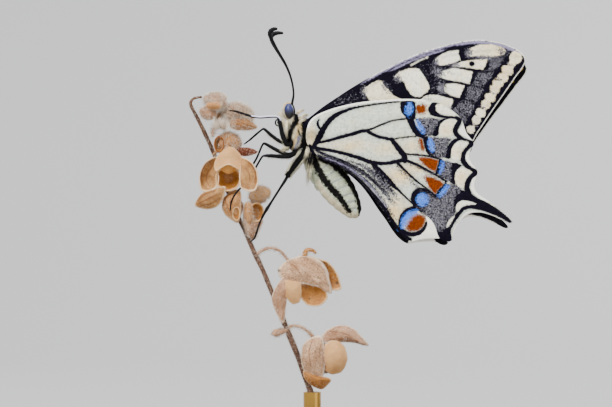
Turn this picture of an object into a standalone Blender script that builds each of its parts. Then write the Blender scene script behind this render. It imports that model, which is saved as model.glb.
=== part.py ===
"""A swallowtail butterfly with closed wings, gripping a dry stem of seed capsules that a small stand holds.

Metres, +Z up, origin under the middle of the stand. The animal faces -X and shows its left side to -Y.
Outlines are drawn in a side drawing: units to the right and downwards, on the plane of symmetry.
"""

import math

import bmesh
import bpy
import numpy as np
from mathutils import Matrix, Vector
from mathutils.geometry import delaunay_2d_cdt

# Driving dimensions
MM = 0.001
FOREWING_LENGTH = 38 * MM
DRAWN_FOREWING = 230
UNIT = FOREWING_LENGTH / DRAWN_FOREWING
GAP = 0.3 * MM
LEAST_RADIUS = 0.25 * MM

# Stand and side drawing
BASE_RADIUS = 29 * MM
BASE_HEIGHT = 5 * MM
BASE_BEVEL = 0.8 * MM
ROD_RADIUS = 1.0 * MM
SOCKET_RADIUS = 1.45 * MM
SOCKET_BORE_RADIUS = 1.05 * MM
DRAWN_MIDDLE = 361.7
DRAWN_BASE_TOP = 424
DRAWN_SOCKET_TOP = 392
DRAWN_SOCKET_FOOT = 410

# Body, in drawing units unless a line says mm
THORAX_CENTRE = (303.6, 138)
THORAX_AXIS = (0.37, 0.93)
THORAX_HALF = (21.8, 18)
THORAX_HALF_WIDTH = 2.35 * MM
HEAD_CENTRE = (288.5, 111)
HEAD_HALF = (7.2, 9.6)
HEAD_HALF_WIDTH = 1.35 * MM
EYE_CENTRE = (289.2, 111.3)
EYE_HALF = (4.9, 7.9)
EYE_HALF_WIDTH = 1.0 * MM
EYE_MIDDLE_Y = 0.85 * MM
EYE_FLAT_Y = 0.55 * MM
FORE_PAD = (309, 124)
HIND_PAD = (314, 148)
PAD_RADIUS = 0.6 * MM

# Wings
WING_THICKNESS = 0.5 * MM
VEIN_HEIGHT = 0.12 * MM
VEIN_HALF_WIDTH = 2.4
ROOT_OFFSET = 3.05 * MM
FAR_OFFSET = 0.7 * MM
LAYER_STEP = 1.12 * MM
CLOSING_START = 8
CLOSING_END = 75
HINGE = (313, 150)
HINGE_FLAT = 8
HINGE_RISE = 14
FAR_SIDE_TURNS = (math.radians(2.2), math.radians(1.5))

FOREWING_OUTLINE = [
    (304, 127), (306, 121), (312, 116), (322, 108), (335, 99), (350, 89), (365, 80), (380, 71.5),
    (395, 64), (410, 57), (425, 51.3), (440, 46.8), (455, 42.9), (468, 40.5), (480, 40), (491, 41.2),
    (502, 43.5), (512, 47.3), (519, 51.3), (524, 56.5), (525, 62), (521.5, 69), (515.5, 77),
    (508, 88), (500, 99.5), (492, 111), (484, 123), (477, 133.5), (472, 142), (466, 146.5),
    (450, 147), (425, 144), (395, 140), (365, 136), (340, 132.5), (322, 130), (309, 130.5),
]
HINDWING_OUTLINE = [
    (309, 148), (306.5, 142), (306, 135), (307.5, 127), (310.5, 121), (316, 116.3), (325, 112),
    (338, 107.6), (355, 103.6), (372, 101.2), (390, 99.9), (408, 99.4), (424, 100.3), (437, 103),
    (447, 108), (455, 113.5), (461, 120), (463.5, 127), (466, 133.5), (473, 143.5), (470, 150),
    (468.6, 156.5), (471, 163.5), (476.8, 171.5), (475, 179), (473.6, 186), (477, 193.5), (486, 199.8),
    (497, 208), (506, 215.5), (511.5, 221.5), (508.5, 223), (500, 219.3), (490, 215), (480, 212.4),
    (471, 212.8), (465, 215.5), (460.5, 220), (456, 226), (453, 233), (451, 240.5), (445.5, 241.5),
    (438.5, 238.5), (431, 238.5), (421, 239.3), (411, 241), (402.5, 236), (395.5, 228), (388, 217),
    (380, 206.5), (372, 195), (363.5, 184.5), (353, 175), (341, 167.8), (329, 162.4), (319, 158),
    (312, 153.5),
]
FOREWING_VEINS = [
    [(309, 123), (330, 107), (355, 91.5), (380, 77.5), (405, 65), (430, 54.5), (452, 46.5)],
    [(309, 126), (335, 109.5), (360, 93.5), (380, 80.5), (400, 71.5), (420, 63.5), (432, 59)],
    [(400, 71.5), (425, 58.5), (450, 51), (475, 46)],
    [(432, 59), (455, 54.5), (480, 51.5), (505, 49)],
    [(432, 59), (437, 67), (455, 65.5), (463, 60.5), (480, 58), (500, 57.5), (519, 57)],
    [(455, 65.5), (470, 69), (485, 71), (500, 72.5), (514, 73.5)],
    [(437, 67), (438, 78), (453, 82), (468, 85), (485, 88), (503, 90)],
    [(438, 78), (436, 89), (447, 94.5), (460, 98.5), (478, 103), (492, 106.5)],
    [(309, 128.5), (340, 120.5), (370, 110.5), (395, 102.5), (410, 98), (421, 97), (436, 89)],
    [(421, 97), (440, 105), (460, 113), (481, 122)],
    [(395, 102.5), (425, 115), (450, 125.5), (473, 135)],
    [(340, 120.5), (375, 126), (410, 133), (445, 140.5), (461, 143)],
]
HINDWING_VEINS = [
    [
        (316, 144), (320.5, 134.5), (327, 125), (336, 117), (348, 110.8), (365, 105.6), (385, 102.6),
        (405, 101.7),
    ],
    [(320.5, 134.5), (317.5, 126), (318.5, 119.5)],
    [
        (316, 144), (330, 140.5), (345, 136), (358, 131.6), (368, 129), (380, 125), (395, 121.2),
        (415, 118.6), (437, 117.5), (455, 117.5),
    ],
    [(366, 130.5), (374, 135.5), (386, 138.6), (393, 140), (399, 147), (405, 155)],
    [(393, 140), (407, 137), (422, 136), (438, 136.5), (455, 138.5), (469, 142.5)],
    [(404, 154), (420, 154.6), (435, 158), (450, 163), (463, 167), (473, 171)],
    [
        (405, 155), (408, 161), (420, 167.5), (432, 174), (446, 181.5), (460, 189), (475, 199), (490, 208),
        (504, 216.5),
    ],
    [(396, 163.2), (405, 169), (415, 178), (425, 187), (436, 198), (446, 209), (457, 219)],
    [(376, 165), (386, 176), (396, 186), (407, 197), (419, 209), (431, 222), (441, 233), (446, 238)],
    [
        (314, 148), (326, 150.5), (341, 153.7), (356, 158.2), (370, 162.6), (383, 164.2), (396, 163.2),
        (405, 155),
    ],
    [(314, 151), (330, 157.4), (345, 164), (360, 173), (374, 185), (387, 201), (399, 219), (407, 232)],
]

# Abdomen stations: place along the side drawing, half depth, half width in mm
ABDOMEN = [
    (309, 152, 8, 1.4), (314.5, 160, 12, 1.65), (322.5, 169.5, 15.6, 2.1), (331, 180, 17.3, 2.25),
    (339, 190.5, 17, 2.2), (346, 200, 14.6, 1.95), (351.5, 208, 11.4, 1.6), (355, 213.5, 8.4, 1.3),
]
ABDOMEN_SEGMENTS = 9
SEGMENT_GROOVE = 0.05

# Legs: place on the drawing, distance from the middle plane in mm, radius in mm
LEGS = {
    "leg_fore_l": (-1, [
        (295, 142, 0.9, 0.5), (287.5, 145, 1.6, 0.44), (283.4, 138, 2.1, 0.42), (280.8, 127, 2.3, 0.36),
        (279.2, 119.5, 2.4, 0.27), (276.5, 117.2, 2.4, 0.25), (269, 117.2, 2.35, 0.25),
        (260, 117.8, 2.25, 0.25), (251, 116.4, 2.1, 0.25), (243, 113.9, 2.0, 0.25), (236, 111.7, 1.9, 0.23),
        (230, 110.7, 1.8, 0.14),
    ]),
    "leg_fore_r": (1, [
        (295, 142, 0.9, 0.5), (287, 143.5, 1.6, 0.44), (279, 140.6, 2.0, 0.4), (271, 135, 2.2, 0.34),
        (264.4, 128.9, 2.35, 0.26), (262, 129, 2.35, 0.25), (255.5, 134.4, 1.9, 0.25),
        (249.5, 139.8, 1.4, 0.25), (244, 144, 0.9, 0.15),
    ]),
    "leg_mid_l": (-1, [
        (297, 152, 0.9, 0.5), (289, 156.4, 1.7, 0.46), (280, 156.8, 2.5, 0.42), (272, 156.2, 2.9, 0.35),
        (264.6, 155.9, 3.0, 0.26), (262.3, 157.4, 2.95, 0.25), (259.3, 162, 2.75, 0.25),
        (255.7, 168.5, 2.5, 0.25), (251, 177, 2.15, 0.25), (245, 184.6, 2.15, 0.25), (239, 190, 2.45, 0.25),
        (234.2, 196.5, 2.65, 0.25), (231.4, 203.5, 2.65, 0.22), (230.7, 210.3, 2.5, 0.14),
    ]),
    "leg_mid_r": (1, [
        (297, 152, 0.9, 0.5), (289, 154.6, 1.8, 0.46), (281, 152, 2.45, 0.4), (272, 147.4, 2.75, 0.34),
        (264.6, 143.2, 2.9, 0.26), (262.3, 144.4, 2.9, 0.25), (259.2, 151.3, 2.85, 0.25),
        (256, 158.6, 2.7, 0.25), (251, 166.5, 2.5, 0.25), (245.5, 172.5, 2.35, 0.23),
        (239.8, 177, 2.25, 0.14),
    ]),
    "leg_hind_l": (-1, [
        (305, 148, 0.9, 0.55), (301.5, 156, 1.9, 0.58), (296, 163.4, 2.3, 0.6), (291, 170.6, 2.5, 0.42),
        (288.3, 175, 2.5, 0.28), (284.8, 181, 2.5, 0.27), (279, 190, 2.4, 0.25), (272.3, 200.6, 2.3, 0.25),
        (266.6, 209.6, 2.2, 0.27), (262, 218, 2.1, 0.25), (258.6, 226.4, 1.95, 0.25),
        (256.4, 233.6, 1.7, 0.25), (254.3, 238.4, 0.75, 0.22), (250.5, 241.6, -0.1, 0.14),
    ]),
    "leg_hind_r": (1, [
        (305, 148, 0.9, 0.55), (301.5, 156, 1.9, 0.58), (296, 163.4, 2.3, 0.6), (291, 170.6, 2.5, 0.42),
        (288.3, 175, 2.5, 0.28), (284.8, 181, 2.5, 0.27), (279, 190, 2.4, 0.25), (272.3, 200.6, 2.3, 0.25),
        (266.6, 209.6, 2.2, 0.27), (262, 218, 2.1, 0.25), (258.6, 226.4, 1.95, 0.25),
        (256.4, 233.6, 1.7, 0.25), (254.3, 238.4, 1.95, 0.22), (251, 241.6, 1.8, 0.14),
    ]),
}

# Feelers: place on the drawing, distance from the middle plane in mm, radius in mm
ANTENNA = [
    (291, 108, 0.45, 0.3), (292.6, 101, 0.65, 0.27), (293.6, 94, 1.0, 0.25), (292.6, 85, 1.6, 0.25),
    (290, 75, 2.3, 0.25), (285.8, 65, 3.1, 0.25), (280.6, 56, 3.8, 0.25), (276, 48.3, 4.4, 0.26),
    (272.2, 41.3, 4.9, 0.3),
]
CLUBS = {
    "antenna_l": (-1, [(270.3, 36.6, 5.15, 0.36), (271, 33.2, 5.25, 0.38), (274, 31.2, 5.2, 0.32),
                       (277.6, 30.6, 5.0, 0.17)]),
    "antenna_r": (1, [(270.8, 36, 5.15, 0.36), (272.6, 32.6, 5.25, 0.38), (277, 31, 5.2, 0.34),
                      (283, 31.2, 5.0, 0.17)]),
}
PALP = [(289, 128, 0.75, 0.3), (284.6, 124, 0.8, 0.36), (281.2, 118, 0.8, 0.36), (279.8, 111.6, 0.72, 0.2)]
PROBOSCIS_CENTRE = (278.8, 123)
PROBOSCIS_TURNS = 1.1
PROBOSCIS_OUTER = 0.74 * MM
PROBOSCIS_PITCH = 0.5 * MM
PROBOSCIS_RADIUS = 0.2 * MM
PROBOSCIS_FLATNESS = 0.7

# Tufts of the thorax: root, bend and tip on the drawing, each with its distance from the middle plane in mm
TUFT_HALF_WIDTH = 0.42 * MM
TUFT_HALF_DEPTH = 0.28 * MM
SHOULDER_TUFTS = [
    ((299, 123, 0.6), (302, 114, 0.9), (305.5, 108.5, 1.0)),
    ((301, 125, 1.0), (305, 117, 1.35), (309.5, 112, 1.3)),
    ((298, 124, 0.2), (299.5, 114, 0.4), (301, 106.5, 0.45)),
]
REAR_TUFTS = [
    ((309.6, 148, 1.4), (309.4, 168, 2.65), (306.6, 186, 1.9)),
    ((313, 149, 1.5), (314, 168, 2.85), (310, 191, 2.3)),
]

# Perch, in drawing units, distance from the middle plane in mm, radius in mm
STEM = [
    (312.6, 402, 0, 0.52), (312.2, 396.5, 0, 0.52), (307.5, 383, 0, 0.52), (298, 356.5, 0, 0.5),
    (285.5, 326, 0, 0.48), (273, 295, 0.1, 0.46), (262.5, 269.5, 0.3, 0.44), (254, 252, 0.6, 0.42),
    (245, 231.5, 1.3, 0.4), (236, 213, 2.3, 0.4), (227, 190, 3.1, 0.39), (219, 168, 3.2, 0.38),
    (212, 150, 2.5, 0.37), (204.5, 133, 1.5, 0.36), (197.5, 118.5, 0.8, 0.35), (192.3, 108.5, 0.4, 0.32),
    (190.6, 102.6, 0.2, 0.3), (194, 98.4, 0.1, 0.28), (201.5, 96.9, 0, 0.27),
]
STEM_BUD = [
    (288, 330, -0.2, 0.3), (281, 331.4, -0.4, 0.62), (275.5, 333, -0.5, 0.75), (272, 334, -0.5, 0.4),
]
SHEET_THICKNESS = 0.5 * MM


def oval_rim(centre, half_width, half_height, count=9):
    """A rim of an even distance around a spot of the side drawing."""
    x, y, away = centre
    angles = [2 * math.pi * k / count for k in range(count)]
    return [(x + half_width * math.cos(a), y + half_height * math.sin(a), away) for a in angles]


# Seed capsules, every spot with its distance from the middle plane in mm: sheets from a middle to a rim;
# ribbed pods with root, tip, half width, half depth in mm and ribs; stalks with a radius in mm at each spot
CAPSULES = {
    "perch_bud_top": (
        [
            ((214, 106, -1.9), oval_rim((214, 106, -1.3), 7.5, 3.4, 7)),
            ((217, 97, -0.9), [
                (207, 98, 0.3), (211, 93.6, 0.2), (217, 92.6, 0.2), (223, 94.5, 0.3), (226.5, 98.5, 0.3),
                (221, 101, -0.4), (213, 101, -0.4),
            ]),
            ((208, 114, -0.6), [
                (199.5, 110, 0.4), (205, 106, 0), (212, 107.5, -0.3), (216.5, 112, 0), (214, 118, 0.3),
                (207, 119.5, 0.5), (201.5, 116, 0.6),
            ]),
        ],
        [((204, 99, 0.2), (227, 105.4, -0.2), 8, 1.35, 6)],
        [[(204.4, 97.4, 0, 0.35), (208, 99.6, 0, 0.75), (214, 103, 0, 0.7)]],
    ),
    "perch_capsule_top": (
        [
            ((243, 124, -1.3), [
                (229, 122.5, -0.2), (236, 118, -0.7), (247, 119, -0.6), (254, 123.5, 0.1),
                (256.5, 127.8, 0.4), (249, 129.6, 0.1), (240, 129.8, 0), (232, 128, 0.1),
            ]),
        ],
        [
            ((221.5, 111, 0.9), (253.5, 117.5, 0.6), 11.6, 1.75, 9),
            ((218, 112, 1.3), (224.4, 129, 1.3), 6, 0.9, 5),
        ],
        [
            [
                (220, 119, 1.2, 0.3), (215.6, 124.6, 1.3, 0.27), (213, 130.4, 1.3, 0.26),
                (212.4, 135.6, 1.3, 0.25),
            ],
        ],
    ),
    "perch_capsule_mid": (
        [
            ((219.2, 144.2, 0.8), oval_rim((219.2, 144.2, -0.4), 5.4, 8.6, 9)),
            ((246, 151.8, -0.1), [
                (230, 150.4, 1.2), (238, 148.2, 0.4), (249, 147.8, 0.1), (257.4, 151.8, 0.3),
                (250, 155.4, 0.1), (240, 155, 0.5),
            ]),
        ],
        [((226.5, 131.5, 1.1), (230, 155.5, 1.3), 13.4, 1.45, 8)],
        [[(222, 147, 1.4, 0.45), (216, 151.5, 2.1, 0.3), (213, 154, 2.5, 0.3)]],
    ),
    "perch_capsule_front": (
        [
            ((229, 157, -2.7), [
                (229, 147, -1.3), (235.6, 149.6, -1.3), (240.6, 156, -1.2), (242.6, 164, -1.5),
                (241.8, 171.6, -2.5), (236.4, 168.6, -3.2), (229, 165.4, -3.7), (221.6, 168.6, -3.1),
                (216.4, 172, -2.2), (215, 164, -1.4), (218.2, 156.5, -1.3), (223.6, 150.6, -1.3),
            ]),
            ((228.4, 178.4, 0.7), oval_rim((228.4, 178.4, -1.5), 13, 13.2, 12)),
            ((208.5, 176, 0.4), [
                (218, 156.5, 0.1), (208.5, 159.5, -0.5), (202, 167, -0.8), (199, 177.5, -0.9),
                (200, 188.5, -1.0), (206.5, 192.5, -1.1), (214, 190.4, -1.2), (219.5, 182, -1.3),
                (218.5, 168, -1.2),
            ]),
            ((249.6, 175.6, -3.3), [
                (240, 157.5, -0.8), (247, 158.6, -2.2), (253, 163.2, -3.7), (257.8, 171.5, -4.2),
                (259.2, 181.5, -4.4), (256.5, 190, -4.5), (250, 192, -4.3), (241.6, 188.4, -3.9),
                (239.6, 179, -3.4), (240.6, 167, -2.2),
            ]),
            ((209, 199, -1.9), [
                (226, 187, -1.3), (213, 189.6, -0.9), (203.5, 192.5, -0.7), (197.6, 199, -0.5),
                (195.6, 205.4, -0.3), (203, 208.6, -0.6), (212.5, 208.4, -0.8), (221.4, 202, -1.1),
            ]),
        ],
        [
            ((228, 159, 1.4), (228, 190, 1.5), 11, 1.5, 8),
            ((229, 151, -1.1), (229, 174, -1.3), 11.8, 1.0, 6),
        ],
        [],
    ),
    "perch_capsule_low": (
        [
            ((231.5, 206, -1.5), [
                (240.4, 190.4, -0.1), (231.6, 191.4, -0.1), (224.6, 197.4, 0), (222.2, 205.6, 0.1),
                (224.4, 213, 0.1), (231, 219.6, 0), (238, 222.2, -0.2), (240.6, 214, -0.7),
                (240.8, 203, -0.6),
            ]),
            ((236.6, 213.6, -0.9), oval_rim((236.6, 213.6, -1.55), 4.2, 7.2, 7)),
        ],
        [((235.5, 196, 1.3), (236, 218.5, 0.5), 7.4, 1.25, 7)],
        [],
    ),
    "perch_capsule_right": (
        [
            ((256.4, 212, 0.3), oval_rim((256.4, 212, -0.8), 7.8, 10, 9)),
            ((248.4, 214, -1.5), [
                (245.6, 203, -0.3), (250.6, 203, -0.7), (253, 214, -0.9), (252.4, 225, -0.6),
                (247, 227, -0.3), (243.6, 215, -0.3),
            ]),
            ((249.5, 227, -1.1), [
                (243.6, 219, 0), (250, 217.6, -0.3), (257.6, 218.6, 0), (262.4, 221.6, 0.2),
                (258.8, 230, 0.3), (254.8, 238.4, 0.4), (251.4, 238.4, 0.4), (246.6, 231, 0.1),
            ]),
        ],
        [
            ((248.5, 198, 0.7), (270.5, 191, 0.4), 8.6, 1.35, 6),
            ((255.5, 200, 1.0), (256, 224, 0.6), 6.6, 1.0, 6),
        ],
        [[(254, 202, 1.1, 0.4), (245, 206, 2.2, 0.3), (235, 209, 2.5, 0.3)]],
    ),
    "perch_capsule_hanging": (
        [
            ((303, 270, -2.4), [
                (277.6, 270.4, -0.2), (285, 262, 0), (295, 257.4, 0), (305, 255.6, 0.1), (315, 258, 0.1),
                (323, 263.4, 0), (328.4, 275, -0.2), (331.6, 293, -0.8), (321, 287.4, -1.3),
                (309.5, 284.6, -1.6), (297, 283, -1.5), (284.6, 281.8, -1.0),
            ]),
            ((328, 274.6, 1.1), [
                (315.6, 259.4, 0.2), (322, 259.4, 0.2), (329.6, 262.8, 0.1), (337.6, 274, 0),
                (341.6, 287.6, 0.1), (335.4, 290.8, 0), (329, 287.4, -0.2), (324.6, 277, 0),
            ]),
            ((280, 298, -1.9), [
                (284.6, 275.6, -1.0), (276.6, 286, -1.2), (272.2, 297, -1.2), (274, 307, -1.2),
                (278, 315.6, -1.1), (283.2, 322.4, -1.0), (285.4, 309, -1.1), (287, 295, -1.2),
                (289, 280, -1.2),
            ]),
            ((291.6, 291, -2.3), [
                (285.6, 280.4, -1.3), (284.6, 291, -1.3), (288, 299, -1.4), (293.4, 303.6, -1.4),
                (299.6, 301, -1.4), (300.6, 291, -1.5), (299.6, 281, -1.6),
            ]),
            ((314, 294.4, -0.3), [
                (299.8, 282, -1.5), (310, 283, -1.6), (318.4, 285.4, -1.5), (326.4, 291, -1.1),
                (327.4, 298, -0.9), (323, 304, -0.8), (315, 306.4, -0.8), (306.4, 304.4, -0.9),
                (301, 298, -1.1), (299.6, 290, -1.4),
            ]),
        ],
        [((290, 263, 0.2), (318, 285, 0.2), 15.5, 1.9, 8)],
        [
            [
                (255, 256, 0.5, 0.28), (262, 250.5, 0.2, 0.27), (271, 248, 0.0, 0.26), (280, 251, 0, 0.26),
                (287, 259, 0, 0.28), (293, 266, 0, 0.5),
            ],
            [
                (305.6, 262, 0, 0.5), (304.6, 256, 0, 0.5), (306, 251.4, 0, 0.46), (309.6, 249.8, 0, 0.4),
                (313.4, 250.8, 0, 0.32), (315.8, 253.2, 0, 0.25),
            ],
        ],
    ),
    "perch_capsule_lowest": (
        [
            ((312, 357, -2.3), [
                (318, 335.8, -0.6), (308.6, 338.6, -0.8), (302.6, 346, -1.1), (301.2, 358, -1.2),
                (304.6, 370, -1.3), (313, 375.6, -1.2), (322.6, 377.4, -1.0), (324.4, 357, -1.0),
                (323, 339, -0.7),
            ]),
            ((334, 357, -2.0), oval_rim((334, 357, -0.6), 13, 17, 11)),
            ((343, 334.4, -1.2), [
                (321.6, 336.6, -0.2), (329, 329, -0.1), (341.4, 325.4, 0), (352.4, 328.4, 0.1),
                (361, 336, 0.2), (368.6, 345.4, 0.4), (356, 342.6, 0.1), (340, 341.6, -0.2),
                (324, 341.6, -0.4),
            ]),
            ((316, 379, -2.1), [
                (304.2, 369.6, -1.2), (312, 373.4, -1.2), (322, 376.4, -1.1), (330.6, 379.4, -0.7),
                (326, 386, -0.7), (320, 388.4, -0.9), (311, 384, -1.2), (304.4, 376.6, -1.2),
            ]),
        ],
        [((313, 339, 0.3), (328, 373, 0.3), 11.5, 1.9, 8)],
        [
            [
                (286.5, 329.5, -0.1, 0.28), (292, 326, -0.2, 0.27), (301, 327, -0.2, 0.26),
                (309, 332.5, -0.2, 0.27), (316, 340, 0, 0.45),
            ],
        ],
    ),
}

MATERIALS = {
    "wing": ((0.78, 0.74, 0.60), 0.75, 0.0),
    "fur": ((0.72, 0.66, 0.46), 0.9, 0.0),
    "eye": ((0.03, 0.04, 0.09), 0.2, 0.0),
    "chitin": ((0.03, 0.03, 0.035), 0.45, 0.0),
    "dry_stem": ((0.23, 0.14, 0.09), 0.85, 0.0),
    "dry_capsule": ((0.62, 0.43, 0.26), 0.8, 0.0),
    "stand_wood": ((0.10, 0.06, 0.04), 0.5, 0.0),
    "stand_brass": ((0.72, 0.55, 0.28), 0.35, 1.0),
}


def place(x, y, away=0.0):
    """A point of the side drawing, at a distance in metres from the middle plane, in world space."""
    return Vector(((x - DRAWN_MIDDLE) * UNIT, away, BASE_HEIGHT + (DRAWN_BASE_TOP - y) * UNIT))


def along(dx, dy):
    """A direction of the side drawing in world space."""
    return Vector((dx, 0, -dy)).normalized()


def material(name):
    found = bpy.data.materials.get(name)
    if found:
        return found
    colour, roughness, metallic = MATERIALS[name]
    made = bpy.data.materials.new(name)
    made.use_nodes = True
    shader = made.node_tree.nodes["Principled BSDF"]
    shader.inputs["Base Color"].default_value = (*colour, 1)
    shader.inputs["Roughness"].default_value = roughness
    shader.inputs["Metallic"].default_value = metallic
    return made


def add_object(name, bm, finish=None):
    """Turns a bmesh into a linked object with outward faces."""
    bmesh.ops.recalc_face_normals(bm, faces=bm.faces)
    mesh = bpy.data.meshes.new(name)
    bm.to_mesh(mesh)
    bm.free()
    obj = bpy.data.objects.new(name, mesh)
    bpy.context.scene.collection.objects.link(obj)
    if finish:
        mesh.materials.append(material(finish))
    mesh.shade_smooth()
    return obj


def bake_modifiers(obj):
    """Replaces an object's mesh by its evaluated one."""
    graph = bpy.context.evaluated_depsgraph_get()
    mesh = bpy.data.meshes.new_from_object(obj.evaluated_get(graph))
    obj.modifiers.clear()
    obj.data = mesh


def keep_largest(obj):
    """Keeps an object's largest closed surface, which also fills hollows that a union seals."""
    bm = bmesh.new()
    bm.from_mesh(obj.data)
    bmesh.ops.remove_doubles(bm, verts=bm.verts, dist=1e-7)
    unseen = set(bm.verts)
    groups = []
    while unseen:
        stack = [unseen.pop()]
        group = set(stack)
        while stack:
            for edge in stack.pop().link_edges:
                for vert in edge.verts:
                    if vert in unseen:
                        unseen.discard(vert)
                        group.add(vert)
                        stack.append(vert)
        groups.append(group)
    groups.sort(key=len)
    for group in groups[:-1]:
        bmesh.ops.delete(bm, geom=list(group), context="VERTS")
    bm.to_mesh(obj.data)
    bm.free()


def boolean(obj, others, operation, solver="EXACT"):
    """Joins closed mesh objects to obj, or cuts them from it, and removes them."""
    group = bpy.data.collections.new(obj.name + "_pieces")
    bpy.context.scene.collection.children.link(group)
    for other in others:
        bpy.context.scene.collection.objects.unlink(other)
        group.objects.link(other)
    modifier = obj.modifiers.new("Boolean", "BOOLEAN")
    modifier.operation = operation
    modifier.operand_type = "COLLECTION"
    modifier.collection = group
    modifier.solver = solver
    bpy.context.view_layer.update()
    bake_modifiers(obj)
    for other in others:
        bpy.data.objects.remove(other)
    bpy.data.collections.remove(group)
    keep_largest(obj)
    return obj


def fuse(name, pieces, finish):
    base = pieces[0]
    boolean(base, pieces[1:], "UNION")
    base.name = name
    base.data.materials.clear()
    base.data.materials.append(material(finish))
    return base


def curve_through(stations, steps):
    """Stations of any length, joined by a Catmull-Rom curve with some steps between each two."""
    rows = np.array(stations, float)
    rows = np.vstack([2 * rows[0] - rows[1], rows, 2 * rows[-1] - rows[-2]])
    out = []
    for i in range(1, len(rows) - 2):
        a, b, c, d = rows[i - 1 : i + 3]
        for k in range(steps):
            t = k / steps
            square, cube = 2 * a - 5 * b + 4 * c - d, 3 * b - a - 3 * c + d
            out.append(0.5 * (2 * b + (c - a) * t + square * t**2 + cube * t**3))
    out.append(rows[-2])
    return out


def tube(name, points, radii, finish, level=1):
    """A closed tube through world points, each with its own radius."""
    curve = bpy.data.curves.new(name, "CURVE")
    curve.dimensions = "3D"
    curve.bevel_depth = 1
    curve.bevel_resolution = level
    curve.use_fill_caps = True
    spline = curve.splines.new("POLY")
    spline.points.add(len(points) - 1)
    for station, point, radius in zip(spline.points, points, radii):
        station.co = (*point, 1)
        station.radius = radius
    guide = bpy.data.objects.new(name + "_guide", curve)
    bpy.context.scene.collection.objects.link(guide)
    bpy.context.view_layer.update()
    graph = bpy.context.evaluated_depsgraph_get()
    mesh = bpy.data.meshes.new_from_object(guide.evaluated_get(graph))
    bpy.data.objects.remove(guide)
    bm = bmesh.new()
    bm.from_mesh(mesh)
    bmesh.ops.remove_doubles(bm, verts=bm.verts, dist=1e-7)
    bpy.data.meshes.remove(mesh)
    return add_object(name, bm, finish)


def drawn_tube(name, stations, side, finish, steps=2, level=1):
    """A tube through stations of the side drawing: x, y, distance from the middle in mm, radius in mm."""
    rows = curve_through(stations, steps)
    points = [place(x, y, side * away * MM) for x, y, away, _ in rows]
    return tube(name, points, [max(0.05, radius) * MM for *_, radius in rows], finish, level)


def ellipsoid(name, centre, halves, tilt, finish, segments=16, rings=10, grow=0.0):
    """An ellipsoid with halves (across, width, length) in metres whose length lies along tilt."""
    bm = bmesh.new()
    bmesh.ops.create_uvsphere(bm, u_segments=segments, v_segments=rings, radius=1)
    length = tilt.normalized()
    across = Vector((0, 1, 0)).cross(length).normalized()
    turn = Matrix((across, Vector((0, 1, 0)), length)).transposed().to_4x4()
    scale = Matrix.Diagonal((halves[0] + grow, halves[1] + grow, halves[2] + grow, 1))
    bmesh.ops.transform(bm, matrix=Matrix.Translation(centre) @ turn @ scale, verts=bm.verts)
    return add_object(name, bm, finish)


def loft(name, rings, finish):
    """A closed body through rings of equal point count, capped by a point at each end."""
    bm = bmesh.new()
    loops = [[bm.verts.new(p) for p in ring] for ring in rings]
    for low, high in zip(loops, loops[1:]):
        for i in range(len(low)):
            j = (i + 1) % len(low)
            bm.faces.new((low[i], low[j], high[j], high[i]))
    for loop in (loops[0], loops[-1]):
        middle = bm.verts.new(sum((v.co for v in loop), Vector()) / len(loop))
        for i in range(len(loop)):
            bm.faces.new((loop[i], loop[(i + 1) % len(loop)], middle))
    return add_object(name, bm, finish)


def sheet(name, middle, rim):
    """A dished sheet of even thickness, from its middle to its rim on the side drawing."""
    middle, rim = np.array(middle), np.array(rim)
    grid = []
    for share in (0.0, 0.5, 1.0):
        ring = middle + (rim - middle) * (share, share, share**2)
        grid.append([place(x, y, away * MM) for x, y, away in ring])
    grid = np.array(grid)
    outward = np.gradient(grid, axis=0)
    around = np.roll(grid, -1, axis=1) - np.roll(grid, 1, axis=1)
    normal = np.cross(outward[1:], around[1:])
    normal /= np.linalg.norm(normal, axis=2, keepdims=True)
    first = normal[0].mean(axis=0)
    normal = np.concatenate([np.tile(first / np.linalg.norm(first), (1, len(rim), 1)), normal])
    bm = bmesh.new()
    layers = []
    for half in (SHEET_THICKNESS / 2, -SHEET_THICKNESS / 2):
        hub = bm.verts.new(grid[0, 0] + half * normal[0, 0])
        layers.append((hub, [[bm.verts.new(p) for p in row] for row in grid[1:] + half * normal[1:]]))
    for i in range(len(rim)):
        j = (i + 1) % len(rim)
        for hub, rows in layers:
            bm.faces.new((hub, rows[0][i], rows[0][j]))
            bm.faces.new((rows[0][i], rows[1][i], rows[1][j], rows[0][j]))
        top, low = layers[0][1][1], layers[1][1][1]
        bm.faces.new((top[i], top[j], low[j], low[i]))
    return add_object(name, bm, "dry_capsule")


def tuft(name, spots, side):
    """A tapered tuft of three sides through its root, bend and tip, the root sunk in the body."""
    root, bend, tip = [place(x, y, side * away * MM) for x, y, away in spots]
    rings = []
    for t, share in ((0, 0.8), (0.3, 1), (0.6, 0.9), (0.82, 0.6), (0.98, 0.2)):
        centre = root * (1 - t) ** 2 + (2 * bend - (root + tip) / 2) * 2 * t * (1 - t) + tip * t**2
        wide = (tip - root).cross(Vector((0, 1, 0))).normalized() * TUFT_HALF_WIDTH * share
        deep = Vector((0, TUFT_HALF_DEPTH * share, 0))
        rings.append([centre + wide, centre + deep, centre - wide, centre - deep])
    return loft(name, rings, "fur")


def thorax_ellipsoid(name, grow=0.0):
    halves = (THORAX_HALF[1] * UNIT, THORAX_HALF_WIDTH, THORAX_HALF[0] * UNIT)
    return ellipsoid(name, place(*THORAX_CENTRE), halves, along(*THORAX_AXIS), "fur", 20, 14, grow)


def head_ellipsoid(name, grow=0.0):
    halves = (HEAD_HALF[0] * UNIT, HEAD_HALF_WIDTH, HEAD_HALF[1] * UNIT)
    return ellipsoid(name, place(*HEAD_CENTRE), halves, along(0.05, 1), "fur", 18, 12, grow)


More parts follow.
